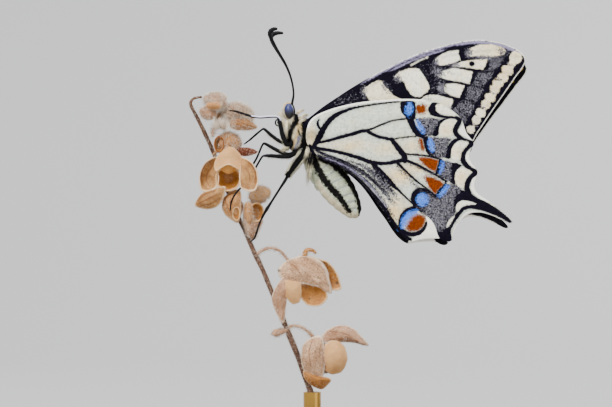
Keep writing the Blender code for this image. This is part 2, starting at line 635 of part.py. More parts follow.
def eye_cap(name, side, grow=0.0):
    """A bulging eye with a flat inner face, so that a wall of the head stays between the two."""
    halves = (EYE_HALF[0] * UNIT, EYE_HALF_WIDTH, EYE_HALF[1] * UNIT)
    centre = place(*EYE_CENTRE, side * EYE_MIDDLE_Y)
    eye = ellipsoid(name, centre, halves, along(0.08, 1), "eye", 18, 12, grow)
    bm = bmesh.new()
    bm.from_mesh(eye.data)
    flat = Vector((0, side * (EYE_FLAT_Y - grow), 0))
    everything = bm.verts[:] + bm.edges[:] + bm.faces[:]
    cut = bmesh.ops.bisect_plane(bm, geom=everything, plane_co=flat, plane_no=(0, -side, 0), clear_outer=True)
    bmesh.ops.holes_fill(bm, edges=[e for e in cut["geom_cut"] if isinstance(e, bmesh.types.BMEdge)])
    bmesh.ops.recalc_face_normals(bm, faces=bm.faces)
    bm.to_mesh(eye.data)
    bm.free()
    return eye


def pad(name, spot, top, side):
    """A flat-ended boss on the thorax that a wing root meets."""
    bm = bmesh.new()
    depth = top - 0.9 * MM
    wide = PAD_RADIUS * 1.3
    bmesh.ops.create_cone(bm, cap_ends=True, segments=10, radius1=wide, radius2=PAD_RADIUS, depth=depth)
    turn = Matrix.Rotation(side * math.radians(-90), 4, "X")
    centre = place(*spot, side * (top - depth / 2))
    bmesh.ops.transform(bm, matrix=Matrix.Translation(centre) @ turn, verts=bm.verts)
    return add_object(name, bm, "fur")


def smooth(t):
    t = np.clip(t, 0, 1)
    return t * t * (3 - 2 * t)


def distance_from_body(points):
    """How far drawing points lie from the thorax's axis, towards the back."""
    dx, dy = points[:, 0] - THORAX_CENTRE[0], points[:, 1] - THORAX_CENTRE[1]
    return dx * THORAX_AXIS[1] - dy * THORAX_AXIS[0]


def wing_offset(points, layer):
    """The middle surface's distance from the plane of symmetry, closing over the back."""
    share = smooth((distance_from_body(points) - CLOSING_START) / (CLOSING_END - CLOSING_START))
    offset = ROOT_OFFSET + (FAR_OFFSET - ROOT_OFFSET) * share
    if layer:
        from_hinge = np.hypot(points[:, 0] - HINGE[0], points[:, 1] - HINGE[1])
        offset = offset + LAYER_STEP * smooth((from_hinge - HINGE_FLAT) / HINGE_RISE)
    return offset


def nearest(points, line):
    """Distance of each point from a polyline."""
    best = np.full(len(points), np.inf)
    for a, b in zip(line, line[1:]):
        span = b - a
        t = np.clip(((points - a) @ span) / (span @ span), 0, 1)
        best = np.minimum(best, np.linalg.norm(points - a - t[:, None] * span, axis=1))
    return best


def wing_layout(outline, veins, spacing=14.0):
    """Drawing points and triangles of a wing: rim, veins with a shoulder on each side, and a loose fill."""
    rim = np.array(curve_through(outline + outline[:1], 1)[:-1])
    lines = [np.array(curve_through(vein, 1)) for vein in veins]
    points = [tuple(p) for p in rim]
    edges = [(i, (i + 1) % len(rim)) for i in range(len(rim))]
    known = {}

    def add(p):
        key = (round(p[0], 2), round(p[1], 2))
        if key not in known:
            known[key] = len(points)
            points.append(key)
        return known[key]

    for line in lines:
        ids = [add(p) for p in line]
        edges += list(zip(ids, ids[1:]))
    closed = np.vstack([rim, rim[:1]])

    def free(p, room):
        spot = np.array([p])
        if nearest(spot, closed)[0] < room:
            return False
        return all(nearest(spot, line)[0] > VEIN_HALF_WIDTH * 0.95 for line in lines)

    for line in lines:
        for a, b in zip(line, line[1:]):
            middle, span = (a + b) / 2, b - a
            normal = np.array([-span[1], span[0]]) / np.linalg.norm(span)
            for sign in (-1, 1):
                spot = middle + normal * sign * VEIN_HALF_WIDTH
                if free(spot, VEIN_HALF_WIDTH):
                    add(spot)
    low, high = rim.min(0), rim.max(0)
    for x in np.arange(low[0], high[0], spacing):
        for y in np.arange(low[1], high[1], spacing):
            if free((x, y), 5) and min(math.dist((x, y), p) for p in points) > spacing * 0.55:
                add((x, y))
    found = delaunay_2d_cdt([Vector(p) for p in points], edges, [], 1, 1e-4)
    flat = np.array([tuple(v) for v in found[0]])
    return flat, [tuple(face) for face in found[2]], lines


def wing(name, outline, veins, side, layer):
    """A closed wing with its main veins as ridges on both faces."""
    flat, triangles, lines = wing_layout(outline, veins)
    ridge = np.zeros(len(flat))
    for line in lines:
        ridge = np.maximum(ridge, np.clip(1 - nearest(flat, line) / VEIN_HALF_WIDTH, 0, 1))
    middle = wing_offset(flat, layer)
    half = WING_THICKNESS / 2 + VEIN_HEIGHT * ridge
    turn = FAR_SIDE_TURNS[layer] if side > 0 else 0.0
    spot = flat - np.array(FORE_PAD)
    turned = np.column_stack([
        spot[:, 0] * math.cos(turn) - spot[:, 1] * math.sin(turn),
        spot[:, 0] * math.sin(turn) + spot[:, 1] * math.cos(turn),
    ]) + np.array(FORE_PAD)
    bm = bmesh.new()
    faces = []
    for sign in (1, -1):
        away = side * (middle + sign * half)
        faces.append([bm.verts.new(place(x, y, a)) for (x, y), a in zip(turned, away)])
    count = {}
    for face in triangles:
        for sheet in faces:
            bm.faces.new([sheet[i] for i in face])
        for a, b in zip(face, face[1:] + face[:1]):
            key = (min(a, b), max(a, b))
            count[key] = count.get(key, 0) + 1
    for (a, b), uses in count.items():
        if uses == 1:
            bm.faces.new((faces[0][a], faces[0][b], faces[1][b], faces[1][a]))
    return add_object(name, bm, "wing")


def make_wings():
    for side, end in ((-1, "l"), (1, "r")):
        wing("forewing_" + end, FOREWING_OUTLINE, FOREWING_VEINS, side, 0)
        wing("hindwing_" + end, HINDWING_OUTLINE, HINDWING_VEINS, side, 1)


def make_thorax():
    body = thorax_ellipsoid("thorax")
    pad_top = ROOT_OFFSET - WING_THICKNESS / 2 - VEIN_HEIGHT - 1.4 * GAP
    pieces = [body]
    for side in (-1, 1):
        pieces.append(pad("fore_pad", FORE_PAD, pad_top, side))
        pieces.append(pad("hind_pad", HIND_PAD, pad_top, side))
        for spots in SHOULDER_TUFTS + REAR_TUFTS:
            pieces.append(tuft("tuft", spots, side))
    fuse("thorax", pieces, "fur")


def make_head():
    head = head_ellipsoid("head")
    cutters = [eye_cap("cut", side, GAP) for side in (-1, 1)] + [thorax_ellipsoid("cut", GAP)]
    boolean(head, cutters, "DIFFERENCE")
    for side, end in ((-1, "l"), (1, "r")):
        eye_cap("eye_" + end, side)
        palp = drawn_tube("palp_" + end, PALP, side, "fur", 3, 2)
        boolean(palp, [head_ellipsoid("cut", GAP), thorax_ellipsoid("cut", GAP)], "DIFFERENCE")
    for name, (side, club) in CLUBS.items():
        feeler = drawn_tube(name, ANTENNA + club, side, "chitin", 2, 1)
        boolean(feeler, [head_ellipsoid("cut", GAP)], "DIFFERENCE")
    spiral = []
    steps = 22
    for k in range(steps + 1):
        turn = 2 * math.pi * PROBOSCIS_TURNS * k / steps
        reach = PROBOSCIS_OUTER - PROBOSCIS_PITCH * turn / (2 * math.pi)
        middle = place(*PROBOSCIS_CENTRE)
        spiral.append(middle + Vector((reach * math.cos(turn), 0, reach * math.sin(turn))))
    coil = tube("proboscis", spiral, [PROBOSCIS_RADIUS] * len(spiral), "chitin", 1)
    coil.data.transform(Matrix.Diagonal((1, PROBOSCIS_FLATNESS, 1, 1)))


def make_abdomen():
    rows = curve_through(ABDOMEN, 3)
    rings = []
    sides = 16
    for k, (x, y, depth, width) in enumerate(rows):
        before, after = rows[max(0, k - 1)], rows[min(len(rows) - 1, k + 1)]
        axis = along(after[0] - before[0], after[1] - before[1])
        back = Vector((0, 1, 0)).cross(axis).normalized()
        wave = math.cos(2 * math.pi * ABDOMEN_SEGMENTS * k / (len(rows) - 1))
        swell = 1 - SEGMENT_GROOVE * (0.5 + 0.5 * wave)
        ring = []
        for i in range(sides):
            angle = 2 * math.pi * i / sides
            ring.append(place(x, y) + back * (depth * UNIT * swell * math.cos(angle))
                        + Vector((0, width * MM * swell * math.sin(angle), 0)))
        rings.append(ring)
    abdomen = loft("abdomen", rings, "fur")
    boolean(abdomen, [thorax_ellipsoid("cut", GAP)], "DIFFERENCE")


def make_legs():
    for name, (side, stations) in LEGS.items():
        leg = drawn_tube(name, stations, side, "chitin", 2, 1)
        boolean(leg, [thorax_ellipsoid("cut", GAP)], "DIFFERENCE")


def ribbed_ovoid(name, root, tip, half_width, half_depth, ribs, finish="dry_capsule", rows=7):
    """A seed capsule's calyx: an ovoid from root to tip with ribs along it."""
    root, tip = Vector(root), Vector(tip)
    axis = tip - root
    facing = Vector((0, 1, 0))
    across = axis.cross(facing).normalized()
    sides = ribs * 2
    rings = []
    for i in range(rows):
        t = 0.03 + 0.94 * i / (rows - 1)
        girth = math.sin(math.pi * t) ** 0.62
        ring = []
        for k in range(sides):
            angle = 2 * math.pi * k / sides
            rib = 1 if k % 2 else 0.88
            ring.append(root + axis * t + across * (half_width * girth * rib * math.cos(angle))
                        + facing * (half_depth * girth * rib * math.sin(angle)))
        rings.append(ring)
    return loft(name, rings, finish)


def make_stem():
    stem = drawn_tube("perch_stem", STEM, 1, "dry_stem", 2, 1)
    fuse("perch_stem", [stem, drawn_tube("bud", STEM_BUD, 1, "dry_stem", 2, 2)], "dry_stem")


def cut_by_stem(obj):
    """Cuts an object clear of the stem by the gap."""
    wide = [(x, y, away, radius + GAP / MM) for x, y, away, radius in STEM]
    return boolean(obj, [drawn_tube("cut", wide, 1, "dry_stem", 2, 2)], "DIFFERENCE")


def make_capsules():
    for name, (sheets, pods, stalks) in CAPSULES.items():
        pieces = []
        for root, tip, half_width, half_depth, ribs in pods:
            ends = [place(x, y, away * MM) for x, y, away in (root, tip)]
            pieces.append(ribbed_ovoid("pod", *ends, half_width * UNIT, half_depth * MM, ribs))
        pieces += [sheet("sheet", middle, rim) for middle, rim in sheets]
        pieces += [drawn_tube("stalk", stations, 1, "dry_capsule", 2, 1) for stations in stalks]
        cut_by_stem(fuse(name, pieces, "dry_capsule"))


def turned(name, outline, centre, finish, segments=24):
    """A body of revolution about a vertical axis from (radius, height) pairs, closed on its axis."""
    bm = bmesh.new()
    loops = []
    for radius, height in outline:
        if radius == 0:
            loops.append([bm.verts.new(centre + Vector((0, 0, height)))])
            continue
        steps = [2 * math.pi * k / segments for k in range(segments)]
        ring = [Vector((radius * math.cos(a), radius * math.sin(a), height)) for a in steps]
        loops.append([bm.verts.new(centre + spot) for spot in ring])
    for low, high in zip(loops, loops[1:]):
        for i in range(segments):
            j = (i + 1) % segments
            corners = [low[i % len(low)], low[j % len(low)], high[j % len(high)], high[i % len(high)]]
            bm.faces.new(list(dict.fromkeys(corners)))
    return add_object(name, bm, finish)


def make_stand():
    foot = place(STEM[1][0], DRAWN_BASE_TOP)
    turned("stand_base", [
        (0, 0), (BASE_RADIUS - BASE_BEVEL / 2, 0), (BASE_RADIUS, BASE_BEVEL / 2),
        (BASE_RADIUS, BASE_HEIGHT - BASE_BEVEL), (BASE_RADIUS - BASE_BEVEL, BASE_HEIGHT),
        (0, BASE_HEIGHT)], Vector(), "stand_wood", 64)
    socket_top = (DRAWN_BASE_TOP - DRAWN_SOCKET_TOP) * UNIT
    socket_foot = (DRAWN_BASE_TOP - DRAWN_SOCKET_FOOT) * UNIT
    turned("stand_rod", [
        (0, GAP), (ROD_RADIUS * 1.9, GAP), (ROD_RADIUS * 1.9, GAP + 0.5 * MM), (ROD_RADIUS, GAP + 0.8 * MM),
        (ROD_RADIUS, socket_foot - GAP), (0, socket_foot - GAP)], foot, "stand_brass", 20)
    bore_foot = (DRAWN_BASE_TOP - STEM[0][1]) * UNIT - GAP
    turned("stand_socket", [
        (0, socket_foot), (SOCKET_RADIUS, socket_foot), (SOCKET_RADIUS, socket_top),
        (SOCKET_BORE_RADIUS, socket_top), (SOCKET_BORE_RADIUS, bore_foot),
        (0, bore_foot)], foot, "stand_brass", 20)


def main():
    for obj in list(bpy.data.objects):
        bpy.data.objects.remove(obj)
    make_stand()
    make_stem()
    make_capsules()
    make_thorax()
    make_head()
    make_abdomen()
    make_legs()
    make_wings()


main()
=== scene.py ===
"""Looks of the swallowtail on its dry stem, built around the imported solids.

Places are given in the units of the side drawing that the solids follow, one UNIT each, with x to the right
and y down. Distances from the middle plane are in millimetres unless a name says otherwise.
"""

import math

import bmesh
import bpy
import numpy as np
from mathutils import Matrix, Vector
from mathutils.geometry import delaunay_2d_cdt
from mathutils.kdtree import KDTree


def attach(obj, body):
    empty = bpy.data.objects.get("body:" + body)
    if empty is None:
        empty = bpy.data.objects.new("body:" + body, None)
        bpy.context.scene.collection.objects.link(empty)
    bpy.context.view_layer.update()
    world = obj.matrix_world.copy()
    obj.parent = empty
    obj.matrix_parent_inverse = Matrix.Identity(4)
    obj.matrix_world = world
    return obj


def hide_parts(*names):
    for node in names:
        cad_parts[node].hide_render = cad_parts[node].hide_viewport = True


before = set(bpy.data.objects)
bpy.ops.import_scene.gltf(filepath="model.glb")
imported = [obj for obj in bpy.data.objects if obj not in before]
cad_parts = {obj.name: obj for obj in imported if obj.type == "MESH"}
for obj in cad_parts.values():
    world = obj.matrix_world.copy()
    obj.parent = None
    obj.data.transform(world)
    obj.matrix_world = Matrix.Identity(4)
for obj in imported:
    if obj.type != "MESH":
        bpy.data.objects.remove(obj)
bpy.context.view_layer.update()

# Side drawing
MM = 0.001
UNIT = 38 * MM / 230
DRAWN_MIDDLE = 361.7
DRAWN_BASE_TOP = 424
BASE_HEIGHT = 5 * MM
FRAME_CENTRE = (306, 203.5)
FRAME_WIDTH = 612
CAMERA_DISTANCE = 450 * MM
SIDES = ((-1, "l"), (1, "r"))

# Colours, as the screen shows them
WHITE = (252, 248, 236)
CREAM = (252, 247, 222)
PALE_GREY = (214, 222, 206)
WARM_PALE = (240, 210, 150)
YELLOW = (236, 192, 66)
WING_BLACK = (3, 2, 8)
LILAC = (128, 120, 148)
DUST_GREY = (122, 119, 128)
BLUE_DEEP = (22, 66, 186)
BLUE_BRIGHT = (92, 150, 244)
LILAC_PALE = (150, 144, 174)
ORANGE_DEEP = (82, 28, 0)
ORANGE_BRIGHT = (128, 54, 4)
COAT_LIGHT = (255, 248, 222)
COAT_DEEP = (240, 224, 184)
TAIL_LIGHT = (222, 230, 206)
TAIL_DEEP = (190, 196, 164)
COAT_BLUSH = (234, 212, 176)
COAT_GOLD = (240, 206, 138)
COAT_BLUE = (92, 104, 150)
COAT_BLACK = (4, 3, 8)
HAIR_TIP = (240, 234, 220)
SKIN_SHADE = (60, 54, 46)
# Eyes: a painted blue sheen with painted glints on some facets, over the eye's own black
EYE_SHEEN_BLUE = (14, 22, 66)
EYE_SHEEN_GLINT = (30, 42, 106)
EYE_LOW = (5, 4, 12)
CHITIN_BLACK = (2, 2, 4)
CHITIN_GREY = (9, 9, 14)
# Pale scales, and the painted highlight along the top of the shins
CHITIN_PALE_AND_HIGHLIGHT = (206, 204, 224)
# Dark streaks on the husks, one of them painted shadow
STREAK_AND_SHADOW_BROWN = (110, 60, 24)
PIT_BROWN = (46, 24, 12)
FUZZ_LIGHT = (246, 236, 222)
FUZZ_DEEP = (212, 188, 162)
WOOD_DARK = (44, 24, 14)
WOOD_LIGHT = (72, 42, 25)
WOOD_GRAIN = (24, 12, 7)
BRASS_DEEP = (176, 132, 58)
BRASS_LIGHT = (206, 164, 84)

# Finish of a wing's face: ground, its warm parts, cream, how far the dark spreads, then the shades of the
# dusting and of the black scales
UNDERSIDE = (PALE_GREY, WARM_PALE, CREAM, 0.25, (84, 80, 92), (14, 10, 26))
UPPERSIDE = (YELLOW, (226, 176, 50), (240, 202, 84), 0.9, (84, 66, 30), (14, 12, 18))


def linear(colour):
    """A screen colour as the renderer's linear one."""
    out = []
    for part in colour:
        share = part / 255
        out.append(share / 12.92 if share <= 0.04045 else ((share + 0.055) / 1.055) ** 2.4)
    return (*out, 1)


def place(x, y, away=0.0):
    """A point of the side drawing, at a distance in mm from the middle plane, in world space."""
    return Vector(((x - DRAWN_MIDDLE) * UNIT, away * MM, BASE_HEIGHT + (DRAWN_BASE_TOP - y) * UNIT))


def to_world(flat, away):
    """Many drawing points with their distances in metres from the middle plane, as rows of world space."""
    x = (flat[:, 0] - DRAWN_MIDDLE) * UNIT
    z = BASE_HEIGHT + (DRAWN_BASE_TOP - flat[:, 1]) * UNIT
    return np.column_stack([x, away, z])


def smooth(t):
    t = np.clip(t, 0, 1)
    return t * t * (3 - 2 * t)


def curve_through(stations, steps, closed=False):
    """Rows joined by a Catmull-Rom curve with some steps between each two."""
    rows = np.array(stations, float)
    if closed:
        rows = np.vstack([rows[-1], rows, rows[0], rows[1]])
    else:
        rows = np.vstack([2 * rows[0] - rows[1], rows, 2 * rows[-1] - rows[-2]])
    t = (np.arange(steps) / steps)[:, None]
    out = []
    for i in range(1, len(rows) - 2):
        a, b, c, d = rows[i - 1 : i + 3]
        cubic = 3 * b - a - 3 * c + d
        out.append(0.5 * (2 * b + (c - a) * t + (2 * a - 5 * b + 4 * c - d) * t**2 + cubic * t**3))
    if not closed:
        out.append(rows[-2:-1])
    return np.vstack(out)


def respaced(line, spacing, closed=False):
    """A polyline resampled to an even spacing."""
    if closed:
        line = np.vstack([line, line[:1]])
    lengths = np.concatenate([[0], np.cumsum(np.linalg.norm(np.diff(line[:, :2], axis=0), axis=1))])
    count = max(2, round(lengths[-1] / spacing) + 1)
    at = np.linspace(0, lengths[-1], count)
    out = np.column_stack([np.interp(at, lengths, line[:, k]) for k in range(line.shape[1])])
    return out[:-1] if closed else out


# Fields over the drawing: above zero inside a shape, and growing by one a unit
OUTSIDE = -9.0
UNMARKED = -99.0


def distance(points, line):
    """Distance of each point from a polyline, and how far along the nearest spot lies, in segments."""
    best = np.full(len(points), np.inf)
    at = np.zeros(len(points))
    for i, (a, b) in enumerate(zip(line[:, :2], line[1:, :2])):
        span = b - a
        t = np.clip(((points - a) @ span) / max(span @ span, 1e-12), 0, 1)
        found = np.linalg.norm(points - a - t[:, None] * span, axis=1)
        nearer = found < best
        best[nearer] = found[nearer]
        at[nearer] = i + t[nearer]
    return best, at


def inside(points, ring):
    """Whether each point lies in a closed ring."""
    x, y = points[:, 0], points[:, 1]
    within = np.zeros(len(points), bool)
    for (ax, ay), (bx, by) in zip(ring, np.roll(ring, -1, axis=0)):
        crosses = (ay > y) != (by > y)
        if ay != by:
            within ^= crosses & (x < (bx - ax) * (y - ay) / (by - ay) + ax)
    return within


def patch(points, corners, rounding=2):
    """Field of a shape with the given corners, rounded a little."""
    ring = np.array(corners, float)
    for _ in range(rounding):
        after = np.roll(ring, -1, axis=0)
        ring = np.stack([0.8 * ring + 0.2 * after, 0.2 * ring + 0.8 * after], axis=1).reshape(-1, 2)
    far, _ = distance(points, np.vstack([ring, ring[:1]]))
    return np.where(inside(points, ring), far, -far)


def stroke(points, stations):
    """Field of a line through stations of x, y and full width."""
    line = curve_through(stations, 4)
    far, at = distance(points, line)
    return np.interp(at, np.arange(len(line)), line[:, 2] / 2) - far


def strokes(points, lines):
    """Field of many lines together, OUTSIDE far from all of them."""
    field = np.full(len(points), OUTSIDE)
    for stations in lines:
        field = np.maximum(field, stroke(points, stations))
    return field


def from_lines(points, lines, steps):
    """Distance of each point from the nearest of many curves."""
    return np.min([distance(points, curve_through(line, steps))[0] for line in lines], axis=0)


def oval(points, x, y, half_width, half_height, turn=0.0):
    """Field of an ellipse, turned clockwise by degrees."""
    angle = math.radians(turn)
    dx, dy = points[:, 0] - x, points[:, 1] - y
    u = (dx * math.cos(angle) + dy * math.sin(angle)) / half_width
    v = (dy * math.cos(angle) - dx * math.sin(angle)) / half_height
    return (1 - np.hypot(u, v)) * min(half_width, half_height)


# Wing outlines and veins, as in the solids
FOREWING_OUTLINE = [
    (304, 127), (306, 121), (312, 116), (322, 108), (335, 99), (350, 89), (365, 80), (380, 71.5),
    (395, 64), (410, 57), (425, 51.3), (440, 46.8), (455, 42.9), (468, 40.5), (480, 40), (491, 41.2),
    (502, 43.5), (512, 47.3), (519, 51.3), (524, 56.5), (525, 62), (521.5, 69), (515.5, 77),
    (508, 88), (500, 99.5), (492, 111), (484, 123), (477, 133.5), (472, 142), (466, 146.5),
    (450, 147), (425, 144), (395, 140), (365, 136), (340, 132.5), (322, 130), (309, 130.5),
]
HINDWING_OUTLINE = [
    (309, 148), (306.5, 142), (306, 135), (307.5, 127), (310.5, 121), (316, 116.3), (325, 112),
    (338, 107.6), (355, 103.6), (372, 101.2), (390, 99.9), (408, 99.4), (424, 100.3), (437, 103),
    (447, 108), (455, 113.5), (461, 120), (463.5, 127), (466, 133.5), (473, 143.5), (470, 150),
    (468.6, 156.5), (471, 163.5), (476.8, 171.5), (475, 179), (473.6, 186), (477, 193.5), (486, 199.8),
    (497, 208), (506, 215.5), (511.5, 221.5), (508.5, 223), (500, 219.3), (490, 215), (480, 212.4),
    (471, 212.8), (465, 215.5), (460.5, 220), (456, 226), (453, 233), (451, 240.5), (445.5, 241.5),
    (438.5, 238.5), (431, 238.5), (421, 239.3), (411, 241), (402.5, 236), (395.5, 228), (388, 217),
    (380, 206.5), (372, 195), (363.5, 184.5), (353, 175), (341, 167.8), (329, 162.4), (319, 158),
    (312, 153.5),
]
FOREWING_VEINS = [
    [(309, 123), (330, 107), (355, 91.5), (380, 77.5), (405, 65), (430, 54.5), (452, 46.5)],
    [(309, 126), (335, 109.5), (360, 93.5), (380, 80.5), (400, 71.5), (420, 63.5), (432, 59)],
    [(400, 71.5), (425, 58.5), (450, 51), (475, 46)],
    [(432, 59), (455, 54.5), (480, 51.5), (505, 49)],
    [(432, 59), (437, 67), (455, 65.5), (463, 60.5), (480, 58), (500, 57.5), (519, 57)],
    [(455, 65.5), (470, 69), (485, 71), (500, 72.5), (514, 73.5)],
    [(437, 67), (438, 78), (453, 82), (468, 85), (485, 88), (503, 90)],
    [(438, 78), (436, 89), (447, 94.5), (460, 98.5), (478, 103), (492, 106.5)],
    [(309, 128.5), (340, 120.5), (370, 110.5), (395, 102.5), (410, 98), (421, 97), (436, 89)],
    [(421, 97), (440, 105), (460, 113), (481, 122)],
    [(395, 102.5), (425, 115), (450, 125.5), (473, 135)],
    [(340, 120.5), (375, 126), (410, 133), (445, 140.5), (461, 143)],
]
HINDWING_VEINS = [
    [(316, 144), (320.5, 134.5), (327, 125), (336, 117), (348, 110.8), (365, 105.6), (385, 102.6),
     (405, 101.7)],
    [(320.5, 134.5), (317.5, 126), (318.5, 119.5)],
    [(316, 144), (330, 140.5), (345, 136), (358, 131.6), (368, 129), (380, 125), (395, 121.2),
     (415, 118.6), (437, 117.5), (455, 117.5)],
    [(366, 130.5), (374, 135.5), (386, 138.6), (393, 140), (399, 147), (405, 155)],
    [(393, 140), (407, 137), (422, 136), (438, 136.5), (455, 138.5), (469, 142.5)],
    [(404, 154), (420, 154.6), (435, 158), (450, 163), (463, 167), (473, 171)],
    [(405, 155), (408, 161), (420, 167.5), (432, 174), (446, 181.5), (460, 189), (475, 199), (490, 208),
     (504, 216.5)],
    [(396, 163.2), (405, 169), (415, 178), (425, 187), (436, 198), (446, 209), (457, 219)],
    [(376, 165), (386, 176), (396, 186), (407, 197), (419, 209), (431, 222), (441, 233), (446, 238)],
    [(314, 148), (326, 150.5), (341, 153.7), (356, 158.2), (370, 162.6), (383, 164.2), (396, 163.2),
     (405, 155)],
    [(314, 151), (330, 157.4), (345, 164), (360, 173), (374, 185), (387, 201), (399, 219), (407, 232)],
]

# Wing surface
MEMBRANE_HALF = 0.055 * MM
VEIN_RISE = 0.07 * MM
VEIN_SPREAD = 1.15
CELL_BULGE = 0.13 * MM
CELL_REACH = 5.0
BULGE_EDGE = 6
RIM_EDGE = 3
VEIN_EDGE = 2
WING_GRAIN = 1.0
ROOT_OFFSET = 3.05 * MM
FAR_OFFSET = 0.7 * MM
LAYER_STEP = 1.12 * MM
INNER_BORDER = 4.0
CLOSING_START = 8
CLOSING_END = 75
HINGE = (313, 150)
HINGE_FLAT = 8
HINGE_RISE = 14
FAR_SIDE_TURNS = (math.radians(2.2), math.radians(1.5))
TURN_CENTRE = np.array((309, 124.0))
THORAX_CENTRE = (303.6, 138)
THORAX_AXIS = (0.37, 0.93)
MARKS = ("dark", "dust", "shade", "warm", "veil", "lilac", "blue", "orange", "cream", "white")

# Forewing markings
FOREWING_CREAM = [
    [(372, 104), (368.5, 99.5), (366, 95), (362.3, 91), (364, 88.2), (372, 83.3), (378, 80.2),
     (382.3, 81.5), (383.6, 86), (389.5, 91), (393.5, 96), (401, 99.3), (405, 107), (392, 111),
     (376, 115)],
    [(394.5, 77), (399, 72), (409, 68.5), (418, 68.6), (422.8, 74.5), (427.5, 83), (429.6, 88.3),
     (427, 92.2), (420, 97.2), (415.3, 97.2), (410.5, 94.2), (406.5, 88.5), (404, 82.3), (398, 79)],
    [(435, 59.8), (441, 54.3), (450, 51.1), (458.8, 50), (458.2, 54), (460.3, 60.3), (455, 62.4),
     (447, 65), (439.6, 65.6), (436.6, 63.2)],
    [(469.6, 48.6), (478, 44.9), (490, 44.6), (500, 46.6), (505.2, 50), (504, 54), (499, 55.8),
     (490, 57), (480, 56.4), (470.5, 56.6), (467, 54)],
    [(452, 66.2), (462, 61.8), (475, 59.9), (487.2, 59.4), (485.6, 65), (482.4, 70.2), (474, 69.2),
     (462, 67.2)],
    [(437, 75), (443, 71.2), (453, 68.2), (462, 69.6), (472.6, 72), (471, 78), (469, 84.4), (460, 82),
     (451, 80.6), (442, 78.6)],
    [(441, 86), (446, 84.2), (455, 83.6), (464.2, 86), (462, 91), (458.8, 98), (452, 96.4), (445, 92.4)],
    [(420.2, 100), (424, 96.5), (430, 94.8), (437, 95.2), (443, 97), (453, 99.6), (452, 104),
     (449, 110.5), (440, 110), (428, 106)],
    [(410.5, 66.6), (419, 62), (428.5, 58), (427.4, 56.8), (418, 60.6), (409.5, 65)],
    [(404, 105), (420, 110), (438, 117), (450, 122), (452, 117), (446, 110.5), (430, 106), (414, 101)],
    [(380, 117), (410, 122), (440, 131), (459, 134), (461, 127), (440, 119), (412, 110), (394, 108)],
]
FOREWING_DOT = (471.5, 64, 3, 2.6)
SUBMARGINAL_LOBES = [
    (515.3, 57.8, 6.3, 6.2), (507, 70.6, 6.2, 4.8), (502.6, 77.8, 5.6, 4.2), (497.6, 83.2, 5.6, 4.2),
    (494.4, 89.2, 5.2, 4.2), (490, 97.4, 5.6, 4.6), (485.6, 104.2, 4.9, 4.2), (480.4, 112.8, 5.2, 4.6),
    (476.2, 120, 4.5, 4.3), (470.2, 129.8, 4.4, 3.9),
]
SUBMARGINAL_LINK = [
    (512, 63.5, 7), (507, 71.5, 7), (500, 82, 6.6), (493, 93.4, 6.2), (485.6, 105, 5.6), (479.6, 114.5, 5),
    (475.4, 122, 3.6), (472.6, 127, 2.6),
]
SUBMARGINAL_TURN = 32
SUBMARGINAL_TICKS = [
    ((501, 64.4), (511, 65.6)), ((490.6, 78.4), (500.6, 81)), ((483.4, 92), (492.6, 93.6)),
    ((474.6, 106.6), (483.6, 109)), ((466.8, 124.2), (474.6, 125.8)),
]
GREY_BAND = [
    (489, 59), (497, 55.6), (504, 55.4), (500.6, 63), (494.5, 71.5), (490, 78.3), (485.4, 83),
    (483.1, 89.7), (480, 97.3), (474.8, 103.4), (472.5, 111), (467.6, 118.6), (465, 124), (459.6, 121),
    (456, 116), (454, 111), (458, 104.2), (464.9, 98.8), (467.2, 87.4), (473.3, 83.6), (476, 73.7),
    (483, 71.5), (489.6, 68.4),
]
FOREWING_DUST = [
    ((346, 101, 11, 5, -25), 0.5), ((440, 68.5, 9, 4.5, 20), 0.8), ((441, 78, 7, 9, 10), 0.5),
    ((493, 56, 11, 3.2, 8), 0.6), ((399, 77, 6, 5, -30), 0.45), ((386, 86, 4, 9, -35), 0.35),
    ((448, 65.5, 8, 3, 0), 0.5), ((423, 72, 4, 8, -30), 0.3), ((434, 88, 5, 6, 0), 0.35),
]
FOREWING_VEIL = [
    ((397.5, 79, 5, 5, 0), 1.0), ((438, 73, 9, 6, 20), 1.0), ((441.5, 88, 6, 8, 0), 1.0),
    ((455, 65.4, 8, 3.6, 0), 0.85), ((436, 62, 3.4, 5, 0), 0.9), ((468.5, 53, 5, 6, 0), 1.0),
    ((502, 51.6, 7, 5, 20), 0.8), ((485, 58, 15, 2.8, 0), 0.9), ((363.5, 92, 4, 8, 0), 0.7),
    ((385, 88, 4, 8, -35), 0.6), ((427, 99, 6, 3, 20), 0.5), ((449, 73, 12, 2.2, 15), 0.35),
    ((511, 65.4, 6, 1.9, 32), 0.5), ((500.6, 79.8, 6, 1.9, 32), 0.5), ((492, 92.6, 6, 1.9, 32), 0.5),
    ((483, 108, 6, 1.9, 32), 0.5), ((475, 124.6, 5, 1.9, 32), 0.5), ((455, 112, 9, 6, 40), 0.5),
]
COSTAL_EDGE = FOREWING_OUTLINE[1:19]
OUTER_EDGE = FOREWING_OUTLINE[18:30]
HINDWING_FRONT_EDGE = HINDWING_OUTLINE[3:13]

